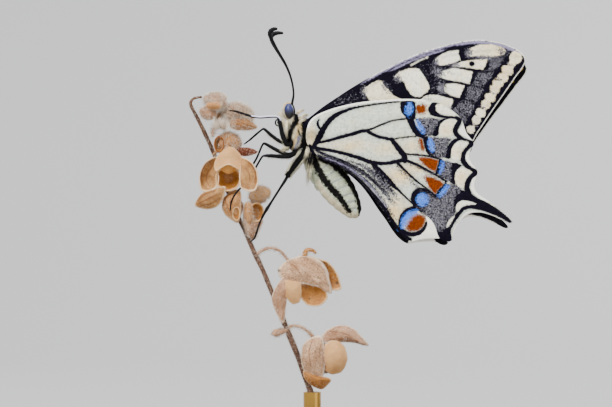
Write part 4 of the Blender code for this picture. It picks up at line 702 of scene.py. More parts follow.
# Capsules: sheets as a middle and a rim of x, y and distance in mm; pods as root, tip, half width in drawing
# units, half depth in mm and ribs; stalks as stations of x, y, distance and radius
SHEET_ROWS = 17
SHEET_HALF = 0.085 * MM
SHEET_WAVE = 0.05 * MM
SHEET_CURL = 0.06 * MM
STALK_SLIM = 0.85
FUZZ_WIDTH = 0.024 * MM
FUZZ_RISE = 0.75
STRANDS = 260
CAPSULES = {
    "perch_bud_top": (
        [
            ((214, 106, -1.9), oval_rim((214, 106, -1.3), 7.5, 3.4, 7)),
            ((217, 97, -0.9), [
                (207, 98, 0.3), (211, 93.6, 0.2), (217, 92.6, 0.2), (223, 94.5, 0.3), (226.5, 98.5, 0.3),
                (221, 101, -0.4), (213, 101, -0.4),
            ]),
            ((208, 114, -0.6), [
                (199.5, 110, 0.4), (205, 106, 0), (212, 107.5, -0.3), (216.5, 112, 0), (214, 118, 0.3),
                (207, 119.5, 0.5), (201.5, 116, 0.6),
            ]),
        ],
        [((204, 99, 0.2), (227, 105.4, -0.2), 8, 1.35, 6)],
        [[(204.4, 97.4, 0, 0.35), (208, 99.6, 0, 0.75), (214, 103, 0, 0.7)]],
    ),
    "perch_capsule_top": (
        [
            ((243, 124, -1.3), [
                (229, 122.5, -0.2), (236, 118, -0.7), (247, 119, -0.6), (254, 123.5, 0.1),
                (256.5, 127.8, 0.4), (249, 129.6, 0.1), (240, 129.8, 0), (232, 128, 0.1),
            ]),
        ],
        [((221.5, 111, 0.9), (253.5, 117.5, 0.6), 11.6, 1.75, 9),
         ((218, 112, 1.3), (224.4, 129, 1.3), 6, 0.9, 5)],
        [
            [(220, 119, 1.2, 0.3), (215.6, 124.6, 1.3, 0.27), (213, 130.4, 1.3, 0.26),
             (212.4, 135.6, 1.3, 0.25)],
        ],
    ),
    "perch_capsule_mid": (
        [
            ((219.2, 144.2, 0.8), oval_rim((219.2, 144.2, -0.4), 5.4, 8.6, 9)),
            ((246, 151.8, -0.1), [
                (230, 150.4, 1.2), (238, 148.2, 0.4), (249, 147.8, 0.1), (257.4, 151.8, 0.3),
                (250, 155.4, 0.1), (240, 155, 0.5),
            ]),
        ],
        [((226.5, 131.5, 1.1), (230, 155.5, 1.3), 13.4, 1.45, 8)],
        [[(222, 147, 1.4, 0.45), (216, 151.5, 2.1, 0.3), (213, 154, 2.5, 0.3)]],
    ),
    "perch_capsule_front": (
        [
            ((229, 157, -2.7), [
                (229, 147, -1.3), (235.6, 149.6, -1.3), (240.6, 156, -1.2), (242.6, 164, -1.5),
                (241.8, 171.6, -2.5), (236.4, 168.6, -3.2), (229, 165.4, -3.7), (221.6, 168.6, -3.1),
                (216.4, 172, -2.2), (215, 164, -1.4), (218.2, 156.5, -1.3), (223.6, 150.6, -1.3),
            ]),
            ((228.4, 178.4, 0.7), oval_rim((228.4, 178.4, -1.5), 13, 13.2, 12)),
            ((208.5, 176, 0.4), [
                (218, 156.5, 0.1), (208.5, 159.5, -0.5), (202, 167, -0.8), (199, 177.5, -0.9),
                (200, 188.5, -1.0), (206.5, 192.5, -1.1), (214, 190.4, -1.2), (219.5, 182, -1.3),
                (218.5, 168, -1.2),
            ]),
            ((249.6, 175.6, -3.3), [
                (240, 157.5, -0.8), (247, 158.6, -2.2), (253, 163.2, -3.7), (257.8, 171.5, -4.2),
                (259.2, 181.5, -4.4), (256.5, 190, -4.5), (250, 192, -4.3), (241.6, 188.4, -3.9),
                (239.6, 179, -3.4), (240.6, 167, -2.2),
            ]),
            ((209, 199, -1.9), [
                (226, 187, -1.3), (213, 189.6, -0.9), (203.5, 192.5, -0.7), (197.6, 199, -0.5),
                (195.6, 205.4, -0.3), (203, 208.6, -0.6), (212.5, 208.4, -0.8), (221.4, 202, -1.1),
            ]),
        ],
        [((228, 159, 1.4), (228, 190, 1.5), 11, 1.5, 8),
         ((229, 151, -1.1), (229, 174, -1.3), 11.8, 1.0, 6)],
        [],
    ),
    "perch_capsule_low": (
        [
            ((231.5, 206, -1.5), [
                (240.4, 190.4, -0.1), (231.6, 191.4, -0.1), (224.6, 197.4, 0), (222.2, 205.6, 0.1),
                (224.4, 213, 0.1), (231, 219.6, 0), (238, 222.2, -0.2), (240.6, 214, -0.7),
                (240.8, 203, -0.6),
            ]),
            ((236.6, 213.6, -0.9), oval_rim((236.6, 213.6, -1.55), 4.2, 7.2, 7)),
        ],
        [((235.5, 196, 1.3), (236, 218.5, 0.5), 7.4, 1.25, 7)],
        [],
    ),
    "perch_capsule_right": (
        [
            ((256.4, 212, 0.3), oval_rim((256.4, 212, -0.8), 7.8, 10, 9)),
            ((248.4, 214, -1.5), [
                (245.6, 203, -0.3), (250.6, 203, -0.7), (253, 214, -0.9), (252.4, 225, -0.6),
                (247, 227, -0.3), (243.6, 215, -0.3),
            ]),
            ((249.5, 227, -1.1), [
                (243.6, 219, 0), (250, 217.6, -0.3), (257.6, 218.6, 0), (262.4, 221.6, 0.2),
                (258.8, 230, 0.3), (254.8, 238.4, 0.4), (251.4, 238.4, 0.4), (246.6, 231, 0.1),
            ]),
        ],
        [((248.5, 198, 0.7), (270.5, 191, 0.4), 8.6, 1.35, 6),
         ((255.5, 200, 1.0), (256, 224, 0.6), 6.6, 1.0, 6)],
        [[(254, 202, 1.1, 0.4), (245, 206, 2.2, 0.3), (235, 209, 2.5, 0.3)]],
    ),
    "perch_capsule_hanging": (
        [
            ((303, 270, -2.4), [
                (277.6, 270.4, -0.2), (285, 262, 0), (295, 257.4, 0), (305, 255.6, 0.1), (315, 258, 0.1),
                (323, 263.4, 0), (328.4, 275, -0.2), (331.6, 293, -0.8), (321, 287.4, -1.3),
                (309.5, 284.6, -1.6), (297, 283, -1.5), (284.6, 281.8, -1.0),
            ]),
            ((328, 274.6, 1.1), [
                (315.6, 259.4, 0.2), (322, 259.4, 0.2), (329.6, 262.8, 0.1), (337.6, 274, 0),
                (341.6, 287.6, 0.1), (335.4, 290.8, 0), (329, 287.4, -0.2), (324.6, 277, 0),
            ]),
            ((280, 298, -1.9), [
                (284.6, 275.6, -1.0), (276.6, 286, -1.2), (272.2, 297, -1.2), (274, 307, -1.2),
                (278, 315.6, -1.1), (283.2, 322.4, -1.0), (285.4, 309, -1.1), (287, 295, -1.2),
                (289, 280, -1.2),
            ]),
            ((291.6, 291, -2.3), [
                (285.6, 280.4, -1.3), (284.6, 291, -1.3), (288, 299, -1.4), (293.4, 303.6, -1.4),
                (299.6, 301, -1.4), (300.6, 291, -1.5), (299.6, 281, -1.6),
            ]),
            ((314, 294.4, -0.3), [
                (299.8, 282, -1.5), (310, 283, -1.6), (318.4, 285.4, -1.5), (326.4, 291, -1.1),
                (327.4, 298, -0.9), (323, 304, -0.8), (315, 306.4, -0.8), (306.4, 304.4, -0.9),
                (301, 298, -1.1), (299.6, 290, -1.4),
            ]),
        ],
        [((290, 263, 0.2), (318, 285, 0.2), 15.5, 1.9, 8)],
        [
            [(255, 256, 0.5, 0.28), (262, 250.5, 0.2, 0.27), (271, 248, 0.0, 0.26), (280, 251, 0, 0.26),
             (287, 259, 0, 0.28), (293, 266, 0, 0.5)],
            [(305.6, 262, 0, 0.5), (304.6, 256, 0, 0.5), (306, 251.4, 0, 0.46), (309.6, 249.8, 0, 0.4),
             (313.4, 250.8, 0, 0.32), (315.8, 253.2, 0, 0.25)],
        ],
    ),
    "perch_capsule_lowest": (
        [
            ((312, 357, -2.3), [
                (318, 335.8, -0.6), (308.6, 338.6, -0.8), (302.6, 346, -1.1), (301.2, 358, -1.2),
                (304.6, 370, -1.3), (313, 375.6, -1.2), (322.6, 377.4, -1.0), (324.4, 357, -1.0),
                (323, 339, -0.7),
            ]),
            ((334, 357, -2.0), oval_rim((334, 357, -0.6), 13, 17, 11)),
            ((343, 334.4, -1.2), [
                (321.6, 336.6, -0.2), (329, 329, -0.1), (341.4, 325.4, 0), (352.4, 328.4, 0.1),
                (361, 336, 0.2), (368.6, 345.4, 0.4), (356, 342.6, 0.1), (340, 341.6, -0.2),
                (324, 341.6, -0.4),
            ]),
            ((316, 379, -2.1), [
                (304.2, 369.6, -1.2), (312, 373.4, -1.2), (322, 376.4, -1.1), (330.6, 379.4, -0.7),
                (326, 386, -0.7), (320, 388.4, -0.9), (311, 384, -1.2), (304.4, 376.6, -1.2),
            ]),
        ],
        [((313, 339, 0.3), (328, 373, 0.3), 11.5, 1.9, 8)],
        [
            [(286.5, 329.5, -0.1, 0.28), (292, 326, -0.2, 0.27), (301, 327, -0.2, 0.26),
             (309, 332.5, -0.2, 0.27), (316, 340, 0, 0.45)],
        ],
    ),
}

# Dry finishes: two colours, the dark one of streaks and specks, the strength of the streaks, the roughness,
# then for some the rim's colour and the strength of the specks
TAN, AMBER, ROSY, HOOD, MOTTLED, RED, WINDOW, CRINKLED, GLOWING = range(9)
HUSK_FINISHES = (
    ("tan", (192, 138, 84), (164, 112, 62), (96, 60, 30), 0.75, 0.75),
    ("amber", (184, 124, 56), (158, 100, 40), (106, 62, 24), 0.6, 0.5, (222, 178, 124)),
    ("rosy", (200, 156, 122), (160, 116, 84), (104, 66, 44), 0.8, 0.8, (226, 204, 180)),
    ("hood", (214, 164, 108), (200, 148, 92), (152, 104, 58), 0.4, 0.6, (222, 180, 130), 0.25),
    ("mottled", (186, 138, 82), (146, 100, 52), (92, 54, 22), 0.9, 0.6, (226, 194, 154)),
    ("red", (120, 60, 34), (92, 42, 22), (50, 24, 12), 0.6, 0.7, (150, 100, 70)),
    ("window", (170, 122, 66), (150, 104, 52), (110, 70, 30), 0.5, 0.6, (128, 64, 18)),
    ("crinkled", (214, 172, 134), (172, 128, 92), (70, 44, 28), 0.9, 0.8, (230, 208, 184), 0.9),
    ("glowing", (228, 160, 78), (206, 138, 58), (160, 102, 40), 0.4, 0.6),
)
BARK = ((104, 72, 52), (78, 50, 36), (42, 25, 17), 0.7, 0.75, (104, 72, 52))

# Each capsule's sheets, as front, back, fuzz and ribs, then its pods and stalks, as finish and fuzz
HUSK_LOOKS = {
    "perch_bud_top": (
        [(TAN, TAN, 0.2, 2), (ROSY, ROSY, 1.2, 4), (ROSY, ROSY, 1.2, 4)], [(ROSY, 1.6)], [(ROSY, 1.2)],
    ),
    "perch_capsule_top": ([(TAN, AMBER, 0.9, 9)], [(CRINKLED, 1.7), (AMBER, 1.2)], [(ROSY, 2.5)]),
    "perch_capsule_mid": ([(WINDOW, TAN, 0.2, 2), (RED, RED, 0.7, 3)], [(TAN, 1.0)], [(TAN, 1.0)]),
    "perch_capsule_front": (
        [(HOOD, AMBER, 0.05, 2), (AMBER, TAN, 0.05, 2), (MOTTLED, TAN, 0.15, 5), (MOTTLED, TAN, 0.15, 5),
         (MOTTLED, TAN, 0.2, 3)],
        [(TAN, 0.4), (GLOWING, 0.0)],
        [],
    ),
    "perch_capsule_low": ([(TAN, AMBER, 0.35, 7), (AMBER, TAN, 0.1, 2)], [(TAN, 0.6)], []),
    "perch_capsule_right": (
        [(AMBER, TAN, 0.15, 2), (TAN, TAN, 0.8, 4), (ROSY, ROSY, 1.1, 4)], [(HOOD, 1.1), (TAN, 0.6)],
        [(ROSY, 1.0)],
    ),
    "perch_capsule_hanging": (
        [(CRINKLED, AMBER, 0.4, 9), (AMBER, ROSY, 0.4, 3), (ROSY, AMBER, 0.6, 3), (HOOD, TAN, 0.0, 1),
         (AMBER, TAN, 0.1, 2)],
        [(ROSY, 0.8)],
        [(ROSY, 1.2), (AMBER, 0.8)],
    ),
    "perch_capsule_lowest": (
        [(CRINKLED, AMBER, 0.5, 4), (HOOD, ROSY, 0.1, 2), (ROSY, AMBER, 0.6, 3), (AMBER, AMBER, 0.3, 4)],
        [(ROSY, 0.8)], [(ROSY, 1.2)],
    ),
}
# Small dark pits of x, y and radius, and dark streaks of x, y and width, the one down the right ear being
# painted shadow
HUSK_PITS = [
    (234, 118.4, 2.2), (241, 119.8, 1.7), (219, 128, 4.5), (337, 283, 3), (309.5, 298.5, 1.6),
    (279, 270.6, 3),
]
HUSK_STREAKS_AND_SHADOW = [
    [(215.4, 158, 0.8), (206, 163.6, 1.2), (201.4, 173.6, 1.2), (202.2, 183, 1), (206, 188, 0.5)],
    [(214, 164, 0.6), (208.4, 171.2, 1), (206.4, 179.6, 0.9), (209.8, 186.8, 0.5)],
    # Painted shadow down the right ear
    [(246, 160.4, 0.7), (252.4, 165.4, 1.3), (256, 173.6, 1.3), (255.6, 183, 0.8)],
    [(245.6, 168, 0.5), (249.6, 174, 0.8), (250, 182, 0.5)],
    [(198, 201, 0.8), (205, 194.4, 1.4), (215.8, 190.6, 0.7)],
    [(199, 203.4, 0.8), (208.6, 198.8, 1.5), (221.4, 192.8, 0.6)],
    [(201.4, 205.4, 0.7), (211, 203.6, 1.3), (220.6, 197.6, 0.6)],
    [(231, 102, 0.6), (239.8, 104.2, 1.1), (247, 111, 0.6)],
    [(233, 106.6, 0.6), (240.6, 108.8, 1.1), (247, 114.6, 0.6)],
    [(232.6, 119.6, 0.8), (241, 122.6, 1.2), (251.8, 126.8, 0.7)],
    [(236, 124, 0.6), (243.6, 127, 1), (250, 128.6, 0.5)],
    [(218.4, 139, 0.7), (220, 146, 1), (218.6, 152, 0.6)],
    [(225, 199, 0.5), (227.4, 206, 0.8), (231.4, 213, 0.5)],
    [(231, 196, 0.5), (230.6, 206, 0.8), (233.4, 215, 0.5)],
    [(288, 262, 0.5), (296, 267, 0.9), (302, 276, 0.5)],
    [(305, 258, 0.5), (314, 262, 0.9), (324, 270, 0.5)],
    [(312, 340, 0.5), (309, 352, 0.9), (311, 366, 0.5)],
    [(330, 331, 0.5), (344, 333, 0.9), (358, 341, 0.5)],
]


class Marks:
    """Painted fields over drawing points, one for each kind of marking, all above zero inside."""

    def __init__(self, points):
        self.points = points
        self.fields = {name: np.full(len(points), UNMARKED) for name in MARKS}
        for name in ("dust", "shade", "warm", "veil"):
            self.fields[name] = np.zeros(len(points))

    def add(self, name, field, over=()):
        self.fields[name] = np.maximum(self.fields[name], field)
        for other in over:
            self.fields[other] = np.minimum(self.fields[other], -field)

    def strokes(self, name, lines):
        for stations in lines:
            self.add(name, stroke(self.points, stations))

    def patches(self, name, shapes, rounding):
        for corners in shapes:
            self.add(name, patch(self.points, corners, rounding))

    def dust(self, field, density, soft):
        """Scattered scales, densest well inside the field."""
        self.fields["dust"] = np.maximum(self.fields["dust"], density * smooth(field / soft * 0.5 + 0.5))


def forewing_marks(points):
    """The forewing is dark, with cream cells and a dusted band laid over."""
    marks = Marks(points)
    x = points[:, 0]
    marks.add("dark", np.full(len(points), 9.0))
    marks.patches("cream", FOREWING_CREAM, 0)
    marks.add("dark", oval(points, *FOREWING_DOT), over=("cream",))
    for lobe in SUBMARGINAL_LOBES:
        marks.add("cream", oval(points, *lobe, SUBMARGINAL_TURN))
    marks.add("cream", stroke(points, SUBMARGINAL_LINK))
    for a, b in SUBMARGINAL_TICKS:
        middle = ((a[0] + b[0]) / 2, (a[1] + b[1]) / 2)
        tick = stroke(points, [(*a, 3.2), (*middle, 1.6), (*b, 0.3)])
        marks.fields["cream"] = np.minimum(marks.fields["cream"], -tick)
    marks.dust(patch(points, GREY_BAND, 1), 1.0, 1.2)
    for (cx, cy, wide, high, turn), density in FOREWING_DUST:
        marks.dust(oval(points, cx, cy, wide, high, turn), density, min(wide, high) * 0.9)
    for (cx, cy, wide, high, turn), density in FOREWING_VEIL:
        field = oval(points, cx, cy, wide, high, turn)
        veil = density * smooth(field / min(wide, high) + 0.25)
        marks.fields["veil"] = np.maximum(marks.fields["veil"], veil)
    far, _ = distance(points, curve_through(COSTAL_EDGE, 3))
    tip = smooth((x - 450) / 14)
    bare = 2.5 * smooth((372 - x) / 24)
    marks.add("lilac", 0.9 + 0.6 * tip - bare - np.abs(far - 1.5 - 0.9 * tip))
    ends = smooth((x - 378) / 20) * smooth((452 - x) / 12)
    marks.add("lilac", 2.8 * ends - 2 - np.abs(far - 4.4))
    marks.add("white", 0.5 - bare - np.abs(far - 0.4))
    edge, _ = distance(points, curve_through(OUTER_EDGE, 3))
    marks.add("white", 0.75 - edge)
    marks.fields["shade"] = np.exp(-from_lines(points, FOREWING_VEINS, 3) / 1.6)
    marks.fields["warm"] = np.exp(-(((x - 500) / 30) ** 2)) * 0.6 + np.exp(-(((x - 385) / 18) ** 2)) * 0.4
    return marks


def hindwing_marks(points):
    """The hindwing is pale, with dark veins, a dusted band and bright spots laid over."""
    marks = Marks(points)
    for corners in HINDWING_DUST:
        marks.dust(patch(points, corners), 1.0, 1.4)
    for stations in HINDWING_DUST_LINES:
        marks.dust(stroke(points, stations), 1.0, 3.0)
    marks.strokes("dark", HINDWING_LINES)
    marks.fields["shade"] = np.exp(np.minimum(marks.fields["dark"], 0) / 2.2)
    marks.patches("dark", HINDWING_DARK, 1)
    for corners in HINDWING_CREAM:
        field = patch(points, corners)
        marks.add("cream", field)
        marks.fields["dust"] *= smooth(0.5 - field)
    marks.patches("white", HINDWING_FRINGE, 1)
    for spot in HINDWING_BLUE_SPOTS:
        marks.add("blue", oval(points, *spot))
    marks.strokes("blue", HINDWING_BLUE_LINES)
    marks.strokes("lilac", HINDWING_LILAC_LINES)
    marks.patches("orange", HINDWING_ORANGE, 1)
    edge, _ = distance(points, curve_through(HINDWING_FRONT_EDGE, 3))
    marks.add("white", 1.7 - edge)
    for x, y, wide, high, weight in WARM_SPOTS:
        spot = ((points[:, 0] - x) / wide) ** 2 + ((points[:, 1] - y) / high) ** 2
        marks.fields["warm"] = np.maximum(marks.fields["warm"], weight * np.exp(-spot))
    return marks


def from_body(points):
    """How far drawing points lie from the thorax's axis, towards the back."""
    dx, dy = points[:, 0] - THORAX_CENTRE[0], points[:, 1] - THORAX_CENTRE[1]
    return dx * THORAX_AXIS[1] - dy * THORAX_AXIS[0]


def wing_offset(points, layer):
    """The middle surface's distance from the plane of symmetry, as in the solids."""
    share = smooth((from_body(points) - CLOSING_START) / (CLOSING_END - CLOSING_START))
    offset = ROOT_OFFSET + (FAR_OFFSET - ROOT_OFFSET) * share
    if layer:
        from_hinge = np.hypot(points[:, 0] - HINGE[0], points[:, 1] - HINGE[1])
        offset = offset + LAYER_STEP * smooth((from_hinge - HINGE_FLAT) / HINGE_RISE)
    return offset


def wing_layout(outline, veins):
    """Fine drawing points and triangles of a wing, with edges along its rim and its veins."""
    rim = respaced(curve_through(outline, 6, closed=True), WING_GRAIN * 0.8, closed=True)
    lines = [respaced(curve_through(vein, 6), WING_GRAIN * 0.9) for vein in veins]
    points = [tuple(p) for p in rim]
    edges = [(i, (i + 1) % len(rim)) for i in range(len(rim))]
    for line in lines:
        start = len(points)
        points += [tuple(p) for p in line]
        edges += [(i, i + 1) for i in range(start, len(points) - 1)]
    fixed = np.array(points)
    tree = KDTree(len(fixed))
    for i, (x, y) in enumerate(fixed):
        tree.insert((x, y, 0), i)
    tree.balance()
    low, high = rim.min(0), rim.max(0)
    rows = np.arange(low[1], high[1], WING_GRAIN * 0.87)
    columns = np.arange(low[0], high[0], WING_GRAIN)
    grid = np.array([(x + WING_GRAIN * 0.5 * (k % 2), y) for k, y in enumerate(rows) for x in columns])
    grid = grid[inside(grid, rim)]
    keep = [tree.find((x, y, 0))[2] > WING_GRAIN * 0.55 for x, y in grid]
    points += [tuple(p) for p in grid[keep]]
    found = delaunay_2d_cdt([Vector(p) for p in points], edges, [], 1, 1e-4)
    return np.array([tuple(v) for v in found[0]]), [tuple(face) for face in found[2]], rim


def turned(points, side, layer):
    """Drawing points of the far side, turned a little about the wing base, as in the solids."""
    turn = FAR_SIDE_TURNS[layer] if side > 0 else 0.0
    spot = points - TURN_CENTRE
    x = spot[:, 0] * math.cos(turn) - spot[:, 1] * math.sin(turn)
    y = spot[:, 0] * math.sin(turn) + spot[:, 1] * math.cos(turn)
    return np.column_stack([x, y]) + TURN_CENTRE


def linked(name, data):
    """A new object in the scene."""
    obj = bpy.data.objects.new(name, data)
    bpy.context.scene.collection.objects.link(obj)
    return obj


def mesh_object(name, points, faces, materials, slots=None):
    """A linked object from rows of points and lists of corners, smooth shaded."""
    mesh = bpy.data.meshes.new(name)
    mesh.from_pydata([tuple(p) for p in points], [], [tuple(int(i) for i in f) for f in faces])
    for finish in materials:
        mesh.materials.append(finish)
    if slots is not None:
        mesh.polygons.foreach_set("material_index", np.array(slots, np.int32))
    mesh.shade_smooth()
    return linked(name, mesh)


def outward(obj):
    """Turns an object's faces outward."""
    bm = bmesh.new()
    bm.from_mesh(obj.data)
    bmesh.ops.recalc_face_normals(bm, faces=bm.faces)
    bm.to_mesh(obj.data)
    bm.free()


def set_floats(obj, name, values):
    layer = obj.data.attributes.new(name, "FLOAT", "POINT")
    layer.data.foreach_set("value", np.ascontiguousarray(values, np.float32))


def set_uv(obj, by_vertex):
    """The OFBake map from one place for each vertex."""
    layer = obj.data.uv_layers.new(name="OFBake")
    loops = np.empty(len(obj.data.loops), np.int32)
    obj.data.loops.foreach_get("vertex_index", loops)
    layer.data.foreach_set("uv", np.ascontiguousarray(by_vertex[loops], np.float32).ravel())


def settle(obj, slot, *nodes):
    """Fixes a piece to the body and lets it stand for its solids. The slot is not used."""
    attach(obj, "root")
    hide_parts(*nodes)


# Shader building

class Graph:
    """A short way to write a material's nodes."""

    def __init__(self, name):
        self.material = bpy.data.materials.new(name)
        self.material.use_nodes = True
        self.tree = self.material.node_tree
        self.shader = self.tree.nodes["Principled BSDF"]

    def node(self, kind, inputs=None, **settings):
        made = self.tree.nodes.new(kind)
        for key, value in settings.items():
            setattr(made, key, value)
        for key, value in (inputs or {}).items():
            self.feed(made.inputs[key], value)
        return made

    def feed(self, socket, value):
        if isinstance(value, bpy.types.NodeSocket):
            self.tree.links.new(value, socket)
        else:
            socket.default_value = value

    def attribute(self, name):
        return self.node("ShaderNodeAttribute", attribute_name=name).outputs["Fac"]

    def math(self, operation, a, b=0.0, c=0.0, clamp=False):
        made = self.node("ShaderNodeMath", {0: a, 1: b, 2: c}, operation=operation, use_clamp=clamp)
        return made.outputs[0]

    def grey(self, value):
        return self.node("ShaderNodeCombineColor", {0: value, 1: value, 2: value}).outputs[0]

    def ramp(self, value, low, high, out_low=0.0, out_high=1.0):
        inputs = {"Value": value, "From Min": low, "From Max": high, "To Min": out_low, "To Max": out_high}
        return self.node("ShaderNodeMapRange", inputs).outputs["Result"]

    def mix(self, share, a, b, blend="MIX"):
        """Two colours mixed. A plain one is given as the screen shows it."""
        made = self.node("ShaderNodeMix", data_type="RGBA", blend_type=blend)
        self.feed(made.inputs[0], share)
        for k, colour in ((6, a), (7, b)):
            self.feed(made.inputs[k], linear(colour) if isinstance(colour, tuple) else colour)
        return made.outputs[2]

    def coordinates(self, scale=(1, 1, 1)):
        spot = self.node("ShaderNodeTexCoord").outputs["Object"]
        return self.node("ShaderNodeMapping", {"Vector": spot, "Scale": scale}).outputs["Vector"]

    def noise(self, vector, scale, detail=2.0, roughness=0.5):
        inputs = {"Vector": vector, "Scale": scale, "Detail": detail, "Roughness": roughness}
        return self.node("ShaderNodeTexNoise", inputs).outputs["Fac"]

    def cells(self, vector, scale, randomness=1.0):
        """Two random values for each small cell, and the distance from its middle."""
        made = self.node("ShaderNodeTexVoronoi", {"Vector": vector, "Scale": scale, "Randomness": randomness})
        random = self.node("ShaderNodeSeparateColor", {"Color": made.outputs["Color"]})
        return random.outputs[0], random.outputs[1], made.outputs["Distance"]

    def bump(self, height, strength, depth):
        made = self.node("ShaderNodeBump", {"Height": height, "Strength": strength, "Distance": depth})
        return made.outputs["Normal"]

    def finish(self, colour, roughness, normal=None, **sockets):
        self.feed(self.shader.inputs["Base Color"], colour)
        self.feed(self.shader.inputs["Roughness"], roughness)
        if normal is not None:
            self.feed(self.shader.inputs["Normal"], normal)
        for key, value in sockets.items():
            self.shader.inputs[key.replace("_", " ")].default_value = value
        return self.material


SCALE_SIZE = 1 / (0.11 * MM)


def wing_material(name, ground, ground_warm, cream, spread, dusk, night):
    """Scales over a membrane: each mark's field, roughened scale by scale, is laid over the ones before."""
    g = Graph(name)
    spot = g.coordinates((1, 0.35, 1))
    speck, tint, hump = g.cells(spot, SCALE_SIZE)
    jitter = g.math("SUBTRACT", speck, 0.5)
    cloud = g.noise(spot, 420, 4)
    grain = g.noise(spot, 2400, 3)
    streak = g.noise(g.coordinates((420, 100, 1500)), 1.0, 4, 0.6)
    black = g.mix(tint, WING_BLACK, night)
    colour = g.mix(g.math("MULTIPLY_ADD", g.math("SUBTRACT", cloud, 0.5), 1.2, g.attribute("warm"), True),
                   ground, ground_warm)
    colour = g.mix(g.ramp(streak, 0.48, 0.8, 0, 0.5), colour, cream)
    colour = g.mix(g.ramp(grain, 0.3, 0.55, 0.35, 0), colour, dusk)
    grey_here = g.math("MULTIPLY", g.attribute("shade"), g.ramp(tint, 0.2, 0.9, 0, 1))
    colour = g.mix(g.math("MULTIPLY", grey_here, 0.75), colour, dusk)

    def laid(below, mark, shade, rough, grow=0.0, soft=0.3, most=1.0):
        field = g.math("MULTIPLY_ADD", jitter, rough, g.attribute(mark))
        return g.mix(g.ramp(field, -soft - grow, soft - grow, 0, most), below, shade)

    colour = laid(colour, "dark", black, 1.0, spread)
    here = g.ramp(g.math("SUBTRACT", g.attribute("dust"), g.math("MULTIPLY", speck, 0.96)), 0, 0.08)
    less_pale = g.math("MULTIPLY", g.attribute("shade"), 0.55)
    dusty = g.mix(g.math("SUBTRACT", g.ramp(tint, 0.3, 0.95), less_pale, 0, True), black, DUST_GREY)
    colour = g.mix(here, colour, dusty)
    lilac = g.mix(tint, LILAC, LILAC_PALE)
    colour = laid(colour, "lilac", lilac, 1.4, 0.0, 0.5, 0.9)
    blue = g.mix(tint, BLUE_DEEP, BLUE_BRIGHT)
    colour = laid(colour, "blue", blue, 3.4, 0.0, 0.6, 0.96)
    light = g.mix(g.math("MULTIPLY_ADD", g.math("SUBTRACT", cloud, 0.5), 1.4, g.attribute("warm"), True),
                  cream, ground_warm)
    light = g.mix(g.ramp(grain, 0.3, 0.5, 0.3, 0), light, dusk)
    light = g.mix(g.math("MULTIPLY", grey_here, 0.6), light, dusk)
    colour = laid(colour, "cream", light, 1.3, -spread * 0.6)
    orange = g.mix(tint, ORANGE_DEEP, ORANGE_BRIGHT)
    glow = g.ramp(g.math("MULTIPLY_ADD", jitter, 3.2, g.attribute("orange")), -2.0, 0.4)
    bare = g.ramp(g.math("MULTIPLY_ADD", jitter, 1.0, g.attribute("dark")), -0.3 - spread, 0.3 - spread, 1, 0)
    colour = g.mix(g.math("MULTIPLY", glow, bare), colour, orange)
    veiled = g.ramp(g.math("SUBTRACT", g.attribute("veil"), g.math("MULTIPLY", speck, 0.96)), 0, 0.1)
    colour = g.mix(veiled, colour, g.mix(g.ramp(tint, 0.2, 0.8), black, DUST_GREY))
    colour = laid(colour, "white", WHITE, 0.7)
    colour = g.mix(1.0, colour, g.grey(g.ramp(tint, 0, 1, 0.84, 1.08)), "MULTIPLY")
    normal = g.bump(hump, 0.3, 0.03 * MM)
    return g.finish(colour, 0.66, normal, Specular_IOR_Level=0.05)


def make_wings():
    """Each wing as a closed membrane with raised veins, and its markings as attributes."""
    under = wing_material("wing_underside", *UNDERSIDE)
    upper = wing_material("wing_upperside", *UPPERSIDE)
    kinds = (
        ("forewing", FOREWING_OUTLINE, FOREWING_VEINS, forewing_marks, 0),
        ("hindwing", HINDWING_OUTLINE, HINDWING_VEINS, hindwing_marks, 1),
    )
    for kind, outline, veins, marks_of, layer in kinds:
        flat, triangles, rim = wing_layout(outline, veins)
        from_vein = from_lines(flat, veins, 4)
        from_edge = distance(flat, np.vstack([rim, rim[:1]]))[0]
        marks = marks_of(flat)
        ridge = VEIN_RISE * np.exp(-((from_vein / VEIN_SPREAD) ** 2))
        bulge = CELL_BULGE * (1 - np.exp(-from_vein / CELL_REACH)) * smooth(from_edge / BULGE_EDGE)
        at_rim = 0.5 + 0.5 * smooth(from_edge / RIM_EDGE)
        half = MEMBRANE_HALF * at_rim + ridge * smooth(from_edge / VEIN_EDGE)
        middle = wing_offset(flat, layer) + bulge
        span = flat.max(0) - flat.min(0)
        unit_uv = (flat - flat.min(0)) / span
        count = len(flat)
        uses = {}
        for face in triangles:
            for a, b in zip(face, face[1:] + face[:1]):
                uses[(min(a, b), max(a, b))] = uses.get((min(a, b), max(a, b)), 0) + 1
        border = [edge for edge, n in uses.items() if n == 1]
        faces = triangles + [tuple(i + count for i in face[::-1]) for face in triangles]
        slots = [0] * len(triangles) + [1] * len(triangles)
        for a, b in border:
            faces.append((a, b, b + count, a + count))
            slots.append(0)
        for side, end in SIDES:
            at = turned(flat, side, layer)
            outer = to_world(at, side * (middle + half))
            inner = to_world(at, side * (middle - half))
            name = kind + "_" + end
            obj = mesh_object(name + "_scaled", np.vstack([outer, inner]), faces, (under, upper), slots)
            outward(obj)
            inner_fields = dict(marks.fields)
            inner_fields["dark"] = np.maximum(inner_fields["dark"], INNER_BORDER - from_edge)
            inner_fields["cream"] = np.minimum(inner_fields["cream"], from_edge - INNER_BORDER)
            for mark in MARKS:
                set_floats(obj, mark, np.concatenate([marks.fields[mark], inner_fields[mark]]))
            # The outer face fills the left half of the map and the inner one the right half
            left = unit_uv * (0.48, 0.96) + (0.01, 0.02)
            set_uv(obj, np.vstack([left, left + (0.5, 0)]))
            settle(obj, "wing", name)


def drawn(points):
    """The side drawing's x and y of world points."""
    x = points[:, 0] / UNIT + DRAWN_MIDDLE
    y = DRAWN_BASE_TOP - (points[:, 2] - BASE_HEIGHT) / UNIT
    return np.column_stack([x, y])


